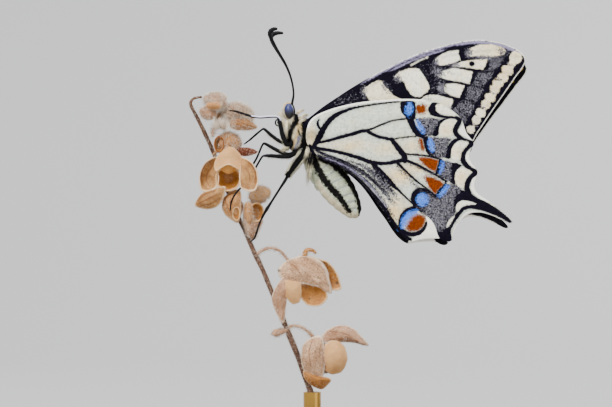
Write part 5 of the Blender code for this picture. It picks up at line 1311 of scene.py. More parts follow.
def triangle_mesh(name, points, triangles, material):
    """A linked object from arrays of points and triangles."""
    mesh = bpy.data.meshes.new(name)
    mesh.vertices.add(len(points))
    mesh.vertices.foreach_set("co", np.ascontiguousarray(points, np.float32).ravel())
    mesh.loops.add(triangles.size)
    mesh.loops.foreach_set("vertex_index", np.ascontiguousarray(triangles, np.int32).ravel())
    mesh.polygons.add(len(triangles))
    mesh.polygons.foreach_set("loop_start", np.arange(0, triangles.size, 3, dtype=np.int32))
    mesh.update(calc_edges=True)
    mesh.materials.append(material)
    mesh.shade_smooth()
    return linked(name, mesh)


def unit(vectors):
    return vectors / np.maximum(np.linalg.norm(vectors, axis=-1, keepdims=True), 1e-12)


def level(lies, normals):
    """Lies turned into the surface, one long."""
    return unit(lies - normals * np.sum(lies * normals, axis=1, keepdims=True))


TUFT_FACES = np.array([
    (0, 1, 4), (0, 4, 3), (1, 2, 5), (1, 5, 4), (2, 0, 3),
    (2, 3, 5), (3, 4, 6), (4, 5, 6), (5, 3, 6), (0, 2, 1),
])
TUFT_POINTS = 7
TUFT_ROOT = 0.06 * MM
TUFT_ON_MAP = 0.0012
TUFTS_A_PIECE = 18000


def fur(name, roots, normals, lies, lengths, widths, rise, fields, uv, material, slot, nodes, bend=None):
    """Solid tapering tufts, each a three-sided blade of ten triangles that leans along its lie."""
    side = unit(np.cross(lies, normals))
    rise = np.broadcast_to(rise, lengths.shape)[:, None]
    length, width = lengths[:, None], widths[:, None]
    middle = roots + (normals * rise * 0.7 + lies * 0.5) * length
    tip = roots + (normals * rise + lies) * length
    if bend is not None:
        middle, tip = bend
    base = roots - normals * TUFT_ROOT
    points = np.stack([
        base + side * width, base - side * width, base + normals * width * 0.8,
        middle + side * width * 0.8, middle - side * width * 0.8, middle + normals * width * 0.6,
        tip], axis=1)
    local = np.array([(-1, 0), (1, 0), (0, 0), (-0.8, 1), (0.8, 1), (0, 1), (0, 2)]) * TUFT_ON_MAP
    for start in range(0, len(roots), TUFTS_A_PIECE):
        some = slice(start, start + TUFTS_A_PIECE)
        count = len(roots[some])
        faces = (TUFT_FACES[None] + TUFT_POINTS * np.arange(count)[:, None, None]).reshape(-1, 3)
        label = name if len(roots) <= TUFTS_A_PIECE else f"{name}_{start // TUFTS_A_PIECE + 1}"
        obj = triangle_mesh(label, points[some].reshape(-1, 3), faces, material)
        for field, values in fields.items():
            set_floats(obj, field, np.repeat(values[some], TUFT_POINTS))
        set_floats(obj, "tip", np.tile([0, 0, 0, 0.5, 0.5, 0.5, 1.0], count))
        set_uv(obj, (uv[some][:, None] + local[None]).reshape(-1, 2))
        settle(obj, slot, *nodes)


def scattered(points, triangles, spacing, random):
    """Random spots over a mesh, about one for each square of the spacing, with their triangles' numbers."""
    a, b, c = (points[triangles[:, k]] for k in range(3))
    areas = np.linalg.norm(np.cross(b - a, c - a), axis=1) / 2
    spacing = np.broadcast_to(spacing, areas.shape)
    share = areas / spacing**2
    count = int(share.sum())
    chosen = random.choice(len(triangles), count, p=share / share.sum())
    u, v = random.random(count), random.random(count)
    flip = u + v > 1
    u[flip], v[flip] = 1 - u[flip], 1 - v[flip]
    spots = a[chosen] + u[:, None] * (b - a)[chosen] + v[:, None] * (c - a)[chosen]
    return spots, chosen


def mesh_arrays(obj):
    """Points, triangles and point normals of an object's mesh."""
    mesh = obj.data
    mesh.calc_loop_triangles()
    points = np.empty(len(mesh.vertices) * 3)
    mesh.vertices.foreach_get("co", points)
    triangles = np.empty(len(mesh.loop_triangles) * 3, np.int32)
    mesh.loop_triangles.foreach_get("vertices", triangles)
    points, triangles = points.reshape(-1, 3), triangles.reshape(-1, 3)
    a, b, c = (points[triangles[:, k]] for k in range(3))
    flat = np.cross(b - a, c - a)
    normals = np.zeros_like(points)
    for k in range(3):
        np.add.at(normals, triangles[:, k], flat)
    return points, triangles, unit(normals)


def tube_faces(rows, sides):
    """Triangles of a closed tube whose two end points come after its rings."""
    j = np.arange(sides)
    after = (j + 1) % sides
    start = np.arange(rows - 1)[:, None] * sides
    a, b = start + j, start + after
    walls = np.stack([a, b, b + sides, a, b + sides, a + sides], axis=-1).reshape(-1, 3)
    low = rows * sides
    top = low - sides
    first = np.column_stack([np.full(sides, low), after, j])
    last = np.column_stack([np.full(sides, low + 1), top + j, top + after])
    return np.vstack([walls, first, last])


def tube_arrays(line, radii, sides):
    """Points and triangles of a closed tube through a world polyline, with each point's share and angle."""
    forward = unit(np.gradient(line, axis=0))
    across = np.empty_like(line)
    across[0] = unit(np.cross(forward[0], (0, 1, 0)))
    for k in range(1, len(line)):
        across[k] = unit(across[k - 1] - forward[k] * (across[k - 1] @ forward[k]))
    other = np.cross(forward, across)
    angle = 2 * np.pi * np.arange(sides) / sides
    ring = across[:, None] * np.cos(angle)[None, :, None] + other[:, None] * np.sin(angle)[None, :, None]
    points = (line[:, None] + ring * radii[:, None, None]).reshape(-1, 3)
    rows = len(line)
    tips = np.vstack([line[0] - forward[0] * radii[0] * 0.5, line[-1] + forward[-1] * radii[-1] * 0.5])
    share = np.concatenate([np.repeat(np.arange(rows) / (rows - 1), sides), [0, 1]])
    turn = np.concatenate([np.tile(np.arange(sides) / sides, rows), [0.5, 0.5]])
    return np.vstack([points, tips]), tube_faces(rows, sides), share, turn


def drawn_line(stations, side, steps):
    """World places and radii in metres of a curve through stations of x, y, distance and radius in mm."""
    rows = curve_through(stations, steps)
    return to_world(rows[:, :2], side * rows[:, 2] * MM), np.maximum(rows[:, 3], 0.04) * MM


def ellipsoid_mm(bm, centre, halves, tilt, grow=0.0):
    """Adds an ellipsoid, in mm, whose length lies along a direction of the drawing."""
    length = Vector((tilt[0], 0, -tilt[1])).normalized()
    across = Vector((0, 1, 0)).cross(length).normalized()
    turn = Matrix((across, Vector((0, 1, 0)), length)).transposed().to_4x4()
    scale = Matrix.Diagonal((halves[0] + grow, halves[1] + grow, halves[2] + grow, 1))
    made = bmesh.ops.create_uvsphere(bm, u_segments=40, v_segments=28, radius=1)
    matrix = Matrix.Translation(centre / MM) @ turn @ scale
    bmesh.ops.transform(bm, matrix=matrix, verts=made["verts"])


def add_arrays(bm, points, triangles):
    verts = [bm.verts.new(p) for p in points]
    for face in triangles:
        bm.faces.new([verts[i] for i in face])


def abdomen_rings(grow):
    """The abdomen's rings in mm: fuller between the seams of its segments, and pointed at the tail."""
    rows = curve_through(ABDOMEN, 10)
    rows = np.vstack([rows, rows[-1] + ABDOMEN_TIP])
    axis = np.gradient(rows[:, :2], axis=0)
    out = []
    sides = ABDOMEN_SIDES
    for k, (x, y, depth, width) in enumerate(rows):
        way = Vector((axis[k][0], 0, -axis[k][1])).normalized()
        back = Vector((0, 1, 0)).cross(way).normalized()
        phase = (ABDOMEN_SEGMENTS * k / (len(rows) - 1)) % 1
        swell = 1 - SEAM_DEPTH * (1 - min(1.0, SEAM_SLOPE * min(phase, 1 - phase))) ** 2
        for i in range(sides):
            angle = 2 * math.pi * i / sides
            spot = place(x, y) / MM
            spot += back * ((depth * UNIT / MM * swell + grow) * math.cos(angle))
            spot += Vector((0, (width * swell + grow) * math.sin(angle), 0))
            out.append(spot)
    faces = []
    for k in range(len(rows) - 1):
        for i in range(sides):
            j = (i + 1) % sides
            a, b = k * sides + i, k * sides + j
            faces += [(a, b, b + sides), (a, b + sides, a + sides)]
    for start, flip in ((0, False), ((len(rows) - 1) * sides, True)):
        middle = sum((out[start + i] for i in range(sides)), Vector()) / sides
        out.append(middle)
        for i in range(sides):
            corner = (start + i, start + (i + 1) % sides)
            faces.append((*corner, len(out) - 1) if flip else (*corner[::-1], len(out) - 1))
    return out, faces


COAT = {"thorax": 0.34, "head": 0.22, "abdomen": 0.14}


def skin_mesh():
    """One closed skin for head, palps, thorax and abdomen."""
    bm = bmesh.new()
    halves = (THORAX_HALF[1] * UNIT / MM, THORAX_HALF_WIDTH, THORAX_HALF[0] * UNIT / MM)
    ellipsoid_mm(bm, place(*THORAX_CENTRE), halves, THORAX_AXIS, -COAT["thorax"])
    halves = (HEAD_HALF[0] * UNIT / MM, HEAD_HALF_WIDTH, HEAD_HALF[1] * UNIT / MM)
    ellipsoid_mm(bm, place(*HEAD_CENTRE), halves, HEAD_AXIS, -COAT["head"])
    ellipsoid_mm(bm, place(*THROAT_CENTRE), THROAT_HALF, THROAT_AXIS)
    for side in (-1, 1):
        line, radii = drawn_line(PALP, side, 6)
        points, triangles, _, _ = tube_arrays(line / MM, radii / MM * PALP_SLIM, PALP_SIDES)
        add_arrays(bm, points, triangles)
    add_arrays(bm, *abdomen_rings(-COAT["abdomen"]))
    mesh = bpy.data.meshes.new("body_skin")
    bmesh.ops.recalc_face_normals(bm, faces=bm.faces)
    bm.to_mesh(mesh)
    bm.free()
    obj = linked("body_skin", mesh)
    remesh = obj.modifiers.new("one skin", "REMESH")
    remesh.mode = "VOXEL"
    remesh.voxel_size = SKIN_VOXEL
    blend = obj.modifiers.new("blend", "SMOOTH")
    blend.factor = 0.5
    blend.iterations = SKIN_BLENDS
    bpy.context.view_layer.update()
    graph = bpy.context.evaluated_depsgraph_get()
    whole = bpy.data.meshes.new_from_object(obj.evaluated_get(graph))
    obj.modifiers.clear()
    obj.data = whole
    whole.transform(Matrix.Scale(MM, 4))
    whole.shade_smooth()
    return obj


def along_body(flat):
    """The body's own line, then each point's distance from it, place along it, segment and that one's way."""
    line = respaced(curve_through(BODY_LINE, 6), 1.5)
    far, at = distance(flat, line)
    i = np.clip(at.astype(int), 0, len(line) - 2)
    return line, far, at, i, line[i + 1] - line[i]


def body_uv(points):
    """An unwrap around the body's own line: once around across, and head to tail upwards."""
    flat = drawn(points)
    line, far, at, i, way = along_body(flat)
    share = at / (len(line) - 1)
    off = flat - (line[i] + way * (at - i)[:, None])
    signed = np.where(way[:, 0] * off[:, 1] - way[:, 1] * off[:, 0] > 0, -far, far) * UNIT
    around = np.arctan2(points[:, 1], signed) / (2 * np.pi) + 0.5
    return np.column_stack([around, share])


# Leaves room at the map's right edge for the faces that wrap around
UV_ROOM = np.array([0.88, 1])


def set_round_uv(obj, uv):
    """The OFBake map of a surface that wraps around: faces over the seam go past its right edge."""
    layer = obj.data.uv_layers.new(name="OFBake")
    loops = np.empty(len(obj.data.loops), np.int32)
    obj.data.loops.foreach_get("vertex_index", loops)
    totals = np.empty(len(obj.data.polygons), np.int32)
    obj.data.polygons.foreach_get("loop_total", totals)
    face = np.repeat(np.arange(len(totals)), totals)
    spots = uv[loops].copy()
    widest = np.zeros(len(totals))
    np.maximum.at(widest, face, spots[:, 0])
    spots[(widest[face] - spots[:, 0]) > 0.5, 0] += 1
    spots *= UV_ROOM
    layer.data.foreach_set("uv", np.ascontiguousarray(spots, np.float32).ravel())


def body_fields(points):
    flat = drawn(points)
    marks = {"dark": BODY_DARK, "lilac": BODY_BLUE, "gold": BODY_GOLD, "blush": BODY_BLUSH}
    fields = {name: strokes(flat, lines) for name, lines in marks.items()}
    fields["belly"] = np.clip((flat[:, 1] - BELLY_START) / BELLY_REACH, 0, 1)
    return fields


def coat_material(name, hairy):
    """Cream coat with black, blue-grey and golden stripes, greener towards the tail."""
    g = Graph(name)
    spot = g.coordinates()
    cloud = g.noise(spot, 1500, 3)
    fine = g.noise(spot, 9000, 2)
    jitter = g.math("SUBTRACT", fine, 0.5)
    cream = g.mix(g.ramp(cloud, 0.3, 0.7), COAT_LIGHT, COAT_DEEP)
    tail = g.mix(g.ramp(cloud, 0.3, 0.7), TAIL_LIGHT, TAIL_DEEP)
    colour = g.mix(g.attribute("belly"), cream, tail)

    def laid(below, mark, shade, rough, most=1.0):
        field = g.math("MULTIPLY_ADD", jitter, rough, g.attribute(mark))
        return g.mix(g.ramp(field, -0.7, 0.7, 0, most), below, shade)

    colour = laid(colour, "blush", COAT_BLUSH, 4.0, 0.6)
    colour = laid(colour, "gold", COAT_GOLD, 2.0, 0.8)
    colour = laid(colour, "lilac", COAT_BLUE, 2.0, 0.85)
    torn = g.math("MULTIPLY", g.math("SUBTRACT", g.noise(spot, 2600, 2), 0.5), g.attribute("belly"))
    dark = g.math("MULTIPLY_ADD", torn, 6.5, g.math("MULTIPLY_ADD", jitter, 2.0, g.attribute("dark")))
    colour = g.mix(g.ramp(dark, -0.7, 0.7), colour, COAT_BLACK)
    if hairy:
        colour = g.mix(g.math("MULTIPLY", g.attribute("tip"), 0.02), colour, HAIR_TIP)
        normal = None
    else:
        colour = g.mix(0.16, colour, SKIN_SHADE)
        normal = g.bump(fine, 0.5, 0.05 * MM)
    return g.finish(colour, 0.7, normal, Specular_IOR_Level=0.05)


def flow(points):
    """The lie of the coat: from the brow down the face and over the nape, back along the body."""
    way = along_body(drawn(points))[-1]
    return unit(np.column_stack([way[:, 0], np.zeros(len(way)), -way[:, 1]]))


def make_body():
    """The skin, and the coat of hairs over it."""
    random = np.random.default_rng(BODY_SEED)
    skin = skin_mesh()
    points, triangles, normals = mesh_arrays(skin)
    skin_finish = coat_material("body_skin", False)
    hair_finish = coat_material("body_coat", True)
    skin.data.materials.clear()
    skin.data.materials.append(skin_finish)
    for field, values in body_fields(points).items():
        set_floats(skin, field, values)
    set_round_uv(skin, body_uv(points))
    nodes = ("thorax", "head", "palp_l", "palp_r", "abdomen")
    settle(skin, "fur", *nodes)

    middle = drawn(points[triangles].mean(axis=1))
    on_tail = (middle[:, 0] > TAIL_FROM[0]) & (middle[:, 1] > TAIL_FROM[1])
    on_head = middle[:, 1] < HEAD_BELOW[1] + (middle[:, 0] - HEAD_BELOW[0]) * HEAD_BELOW[2]
    coat = np.where(on_tail[:, None], TAIL_COAT, np.where(on_head[:, None], HEAD_COAT, MAIN_COAT))
    spacing = coat[:, 0] * MM
    roots, chosen = scattered(points, triangles, spacing, random)
    normal = unit(normals[triangles[chosen]].mean(axis=1))
    flat = drawn(roots)
    lie = flow(roots)
    lie += random.normal(0, 0.16, lie.shape)
    lie = level(lie, normal)
    _, length, width, rise = coat[chosen].T
    neck = np.exp(-(((flat[:, 0] - 298) / 7) ** 2 + ((flat[:, 1] - 119) / 6) ** 2))
    length = (length + neck * 0.1) * random.uniform(0.7, 1.25, len(roots))
    width = width * random.uniform(0.8, 1.3, len(roots))
    rise = rise * random.uniform(0.6, 1.3, len(roots))
    # Keeps the coat off the eyes and short on the flanks that the wings cover
    spot = (roots - np.array(place(*EYE_CENTRE))) / MM
    in_eye = (spot[:, 0] / EYE_BARE[0]) ** 2 + (spot[:, 2] / EYE_BARE[1]) ** 2 < 1
    keep = ~(in_eye & (np.abs(spot[:, 1]) > EYE_BARE[2]))
    length = np.where(from_body(flat) > FLANK_FROM, np.minimum(length, FLANK_HAIR), length)
    uv = body_uv(roots) * UV_ROOM
    fields = body_fields(roots)
    fur("body_coat", roots[keep], normal[keep], lie[keep], length[keep] * MM, width[keep] * MM, rise[keep],
        {key: values[keep] for key, values in fields.items()}, uv[keep], hair_finish, "fur", nodes)
    make_plumes(random, hair_finish, nodes)


def make_plumes(random, finish, nodes):
    """Longer hair in tufts over the shoulders and beside the hind legs."""
    roots, middles, tips, dark, belly = [], [], [], [], []
    for spots, count, spread, shade, tone in TUFTS:
        for side in (-1, 1):
            root, bend, tip = [np.array(place(x, y, side * away)) for x, y, away in spots]
            jog = random.normal(0, spread * MM, (count, 3)) * (1, 0.55, 1)
            reach = random.uniform(0.55, 1.02, count)[:, None]
            ends = root + (tip - root) * reach + jog * (0.35 + 0.5 * reach)
            bends = root + (bend - root) * reach + jog * 0.8
            roots.append(root + jog * 0.7)
            middles.append(bends)
            tips.append(ends)
            dark.append(np.where(random.random(count) < 0.08, -shade, shade))
            belly.append(np.full(count, tone))
    roots, middles, tips = map(np.vstack, (roots, middles, tips))
    dark, belly = np.concatenate(dark), np.concatenate(belly)
    lies = unit(middles - roots)
    normals = unit(np.cross(lies, HAIR_SIDE))
    widths = random.uniform(0.035, 0.06, len(roots)) * MM
    none = np.full(len(roots), OUTSIDE)
    fields = {"dark": dark, "lilac": none, "gold": none, "belly": belly}
    fur("body_plumes", roots, normals, lies, widths * 0, widths, 0.0, fields, body_uv(roots) * UV_ROOM,
        finish, "fur", nodes, bend=(middles, tips))


def make_eyes():
    """Faceted eyes, black below, with a painted blue sheen above whose facets carry painted glints."""
    g = Graph("eye")
    height = g.node("ShaderNodeSeparateXYZ", {"Vector": g.coordinates()}).outputs["Z"]
    top, low = place(*EYE_CENTRE).z + EYE_SHEEN_TOP * MM, place(*EYE_CENTRE).z - EYE_BLACK_LOW * MM
    fine, tint, hump = g.cells(g.coordinates(), 1 / (0.045 * MM), 0.25)
    # Painted sheen: blue over the top of the eye, varied facet by facet with painted glints, fading into the
    # eye's black below
    blue = g.mix(tint, EYE_SHEEN_BLUE, EYE_SHEEN_GLINT)
    colour = g.mix(g.ramp(height, low, top), EYE_LOW, blue)
    finish = g.finish(colour, 0.5, g.bump(hump, 0.35, 0.02 * MM), Coat_Weight=0.15, Coat_Roughness=0.2)
    for side, end in SIDES:
        bm = bmesh.new()
        halves = (EYE_HALF[0] * UNIT / MM, EYE_HALF_WIDTH, EYE_HALF[1] * UNIT / MM)
        ellipsoid_mm(bm, place(*EYE_CENTRE, side * EYE_MIDDLE), halves, EYE_AXIS, -EYE_SUNK)
        mesh = bpy.data.meshes.new("eye_facets_" + end)
        bm.to_mesh(mesh)
        bm.free()
        mesh.transform(Matrix.Scale(MM, 4))
        mesh.materials.append(finish)
        mesh.shade_smooth()
        obj = linked("eye_facets_" + end, mesh)
        points = np.array([v.co for v in mesh.vertices])
        flat = drawn(points)
        spot = (flat - EYE_CENTRE) / (EYE_HALF[0] * 2.2, EYE_HALF[1] * 2.2)
        uv = 0.25 + spot * 0.45 + np.where(side * points[:, 1:2] > EYE_MIDDLE * MM, (0.5, 0.25), (0.0, 0.25))
        set_uv(obj, uv)
        settle(obj, "eye", "eye_" + end)


def chitin_material():
    """Black scaled cuticle, pale where the field says so: pale scales, and on the shins a painted highlight.
    """
    g = Graph("chitin")
    spot = g.coordinates()
    fine = g.noise(spot, 7000, 3)
    colour = g.mix(g.ramp(fine, 0.35, 0.75), CHITIN_BLACK, CHITIN_GREY)
    field = g.math("MULTIPLY_ADD", g.math("SUBTRACT", fine, 0.5), 0.7, g.attribute("pale_scales_and_highlight"))
    colour = g.mix(g.ramp(field, 0.35, 0.65), colour, CHITIN_PALE_AND_HIGHLIGHT)
    return g.finish(colour, 0.5, g.bump(fine, 0.4, 0.03 * MM), Specular_IOR_Level=0.14)


def spikes(starts, ways, lengths, radius):
    """Points and triangles of thin three-sided spikes."""
    ways = unit(ways)
    side = unit(np.cross(ways, (0.31, 0.87, 0.4)))
    other = np.cross(ways, side)
    ring = [starts + radius * (math.cos(a) * side + math.sin(a) * other) for a in (0, 2.094, 4.189)]
    tip = starts + ways * lengths[:, None]
    points = np.stack([*ring, tip], axis=1).reshape(-1, 3)
    faces = np.array([(0, 1, 3), (1, 2, 3), (2, 0, 3), (0, 2, 1)])
    return points, (faces[None] + 4 * np.arange(len(starts))[:, None, None]).reshape(-1, 3)


def feeler(name, line, radii, chitin, node):
    """A thin dark tube without pale scales or painted highlight."""
    points, triangles, share, turn = tube_arrays(line, radii, FEELER_SIDES)
    obj = triangle_mesh(name, points, triangles, chitin)
    set_floats(obj, "pale_scales_and_highlight", np.zeros(len(points)))
    set_uv(obj, np.column_stack([turn, share]))
    settle(obj, "chitin", node)


def make_limbs():
    """Legs with spikes, claws and hairs, then the feelers and the coiled proboscis."""
    random = np.random.default_rng(LIMB_SEED)
    chitin = chitin_material()
    coat = bpy.data.materials["body_coat"]
    for name, (side, knee, ankle, stations) in LEGS.items():
        line, radii = drawn_line(stations, side, LEG_STEPS)
        at = np.arange(len(line)) / LEG_STEPS
        hairy = name.startswith("leg_hind")
        slim = np.interp(radii / MM, [0.14, 0.25, 0.27, 0.4], [0.75, 0.68, 0.9, 0.95 if hairy else 0.8])
        radii = radii * slim * (1.2 if name == "leg_fore_l" else 1)
        foot = at > ankle
        last = len(stations) - 1
        phase = ((at - ankle) / (last - ankle) * FOOT_PARTS) % 1
        radii = np.where(foot, radii * (0.86 + 0.24 * phase**3), radii)
        for joint in (knee, ankle):
            radii = radii * (1 + 0.16 * np.exp(-(((at - joint) / 0.35) ** 2)))
        points, triangles, share, turn = tube_arrays(line, radii, LEG_SIDES)
        centre = np.vstack([np.repeat(line, LEG_SIDES, axis=0), line[:1], line[-1:]])
        out = unit(points - centre)
        shin = (share * last > knee - 0.4) & (share * last < ankle)
        # Painted highlight on the upward side of each shin, strongest on the left foreleg, then pale scales
        # under the thighs
        bright = 2.0 if name == "leg_fore_l" else 0.45
        pale_scales_and_highlight = np.where(shin, np.clip(out[:, 2] * 1.2 + out[:, 1] * side * 0.2, 0, 1) * bright, 0)
        pale_scales_and_highlight = np.maximum(pale_scales_and_highlight, np.where(share * last < knee - 0.6, np.clip(-out[:, 2], 0, 1) * 0.35, 0))

        picks = np.arange(int(knee * LEG_STEPS) + 4, len(line) - 2, 3)
        way = np.gradient(line, axis=0)[picks]
        starts, ways = [], []
        for flank in (-1, 1):
            across = unit(np.cross(way, (0, 1, 0))) * 0.4 + np.array([0, flank * 0.8, 0])
            starts.append(line[picks])
            ways.append(unit(way) * 0.9 + across)
        tips = unit(line[-1] - line[-4])
        for flank in (-1, 1):
            starts.append(line[-1:])
            ways.append((tips + np.array([0, flank * 0.45, -0.25]))[None])
        starts, ways = np.vstack(starts), np.vstack(ways)
        lengths = np.concatenate([np.full(2 * len(picks), SPIKE_LENGTH), [CLAW_LENGTH] * 2]) * MM
        extra, extra_faces = spikes(starts, ways, lengths, SPIKE_RADIUS * MM)
        whole = np.vstack([points, extra])
        faces = np.vstack([triangles, extra_faces + len(points)])
        obj = triangle_mesh(name + "_scaled", whole, faces, chitin)
        set_floats(obj, "pale_scales_and_highlight", np.concatenate([pale_scales_and_highlight, np.zeros(len(extra))]))
        uv = np.column_stack([turn * 0.8 * (1 - 1 / LEG_SIDES), share * 0.98])
        spike_uv = np.column_stack([
            0.85 + 0.1 * (np.arange(len(extra)) % 4) / 4, 0.02 + 0.95 * np.arange(len(extra)) / len(extra)])
        set_uv(obj, np.vstack([uv, spike_uv]))
        settle(obj, "chitin", name)

        thigh = share[: len(centre) - 2] * last < knee - (0.0 if hairy else 0.6)
        rows = np.flatnonzero(thigh)
        count = HIND_HAIRS if hairy else LEG_HAIRS
        pick = random.choice(rows, count)
        roots = points[pick]
        normal = out[pick]
        lie = unit(np.gradient(line, axis=0))[pick // LEG_SIDES]
        lie = unit(lie + random.normal(0, 0.15, lie.shape))
        below = np.clip(-normal[:, 2] - normal[:, 0] * 0.6, 0, 1)
        length = (0.52 + 0.4 * below if hairy else 0.28 + 0.15 * below) * random.uniform(0.6, 1.2, count)
        if hairy:
            dark = np.where(np.abs(normal[:, 1]) > 0.72, 2.0, -2.0)
        else:
            dark = np.where(below > 0.75, -1.0, 2.0)
        none = np.full(count, OUTSIDE)
        fields = {"dark": dark, "lilac": np.where(random.random(count) < 0.12, 1.0, none), "gold": none,
                  "belly": np.full(count, 0.7)}
        spot = np.column_stack([0.1 + 0.8 * turn[pick], 0.02 + 0.96 * share[pick]])
        fur(name + "_coat", roots, normal, lie, length * MM, np.full(count, (0.05 if hairy else 0.035) * MM),
            (0.5 if hairy else 0.3) + 0.25 * below, fields, spot, coat, "fur", (name,))

    for name, (side, club) in CLUBS.items():
        line, radii = drawn_line(ANTENNA + club, side, FEELER_STEPS)
        at = np.cumsum(np.concatenate([[0], np.linalg.norm(np.diff(line, axis=0), axis=1)]))
        ring = (at / (FEELER_RING * MM)) % 1
        radii = radii * (0.9 + 0.14 * np.sin(np.pi * ring))
        radii[-1] *= 0.5
        feeler(name + "_ringed", line, radii, chitin, name)

    turn = np.linspace(0, 2 * np.pi * PROBOSCIS_TURNS, PROBOSCIS_ROWS)
    reach = (PROBOSCIS_OUTER - PROBOSCIS_PITCH * turn / (2 * np.pi)) * MM
    middle = np.array(place(*PROBOSCIS_CENTRE))
    line = middle + np.column_stack([reach * np.cos(turn), np.zeros(PROBOSCIS_ROWS), reach * np.sin(turn)])
    radii = PROBOSCIS_RADIUS * MM * (0.95 + 0.08 * np.sin(turn * 22)) * np.linspace(1, 0.75, PROBOSCIS_ROWS)
    feeler("proboscis_coiled", line, radii, chitin, "proboscis")


# Perch

def dry_material(name, outer, outer_too, dark, rough, gloss, rim=(214, 182, 146), speck=0.45):
    """Papery dry husk: streaks along it, blotches, dark pits, marked dark streaks with one of them painted
    shadow, and a paler rim.
    """
    g = Graph(name)
    spot = g.coordinates()
    blotch = g.noise(spot, 620, 4, 0.6)
    fine = g.noise(spot, 4200, 3, 0.6)
    across, along = g.attribute("across"), g.attribute("along")
    stretched = {"X": g.math("MULTIPLY", across, 9.0), "Y": g.math("MULTIPLY", along, 1.6)}
    streak = g.noise(g.node("ShaderNodeCombineXYZ", stretched).outputs["Vector"], 2.6, 4, 0.6)
    colour = g.mix(g.ramp(blotch, 0.36, 0.62), outer, outer_too)
    colour = g.mix(g.ramp(streak, 0.5, 0.68, 0, rough), colour, dark)
    colour = g.mix(g.ramp(fine, 0.54, 0.68, 0, speck), colour, dark)
    edge = g.math("MULTIPLY_ADD", g.math("SUBTRACT", blotch, 0.5), 0.12, g.attribute("edge"))
    colour = g.mix(g.ramp(edge, 0.05, 0.13, 0.85, 0), colour, rim)
    # Marked dark streaks, mostly the husk's own, one of them painted shadow
    colour = g.mix(g.math("MULTIPLY", g.attribute("streak"), 0.8), colour, STREAK_AND_SHADOW_BROWN)
    colour = g.mix(g.ramp(g.attribute("pit"), 0.2, 0.75, 0, 0.9), colour, PIT_BROWN)
    height = g.math("ADD", g.math("MULTIPLY", streak, 0.9), g.math("MULTIPLY", fine, 0.5))
    return g.finish(colour, gloss, g.bump(height, 0.8, 0.12 * MM), Specular_IOR_Level=0.3)


def map_cell(turn, share):
    """Places in one cell of a capsule's map, clear of the cell's border."""
    return np.column_stack([0.02 + 0.94 * turn, 0.03 + 0.94 * share])


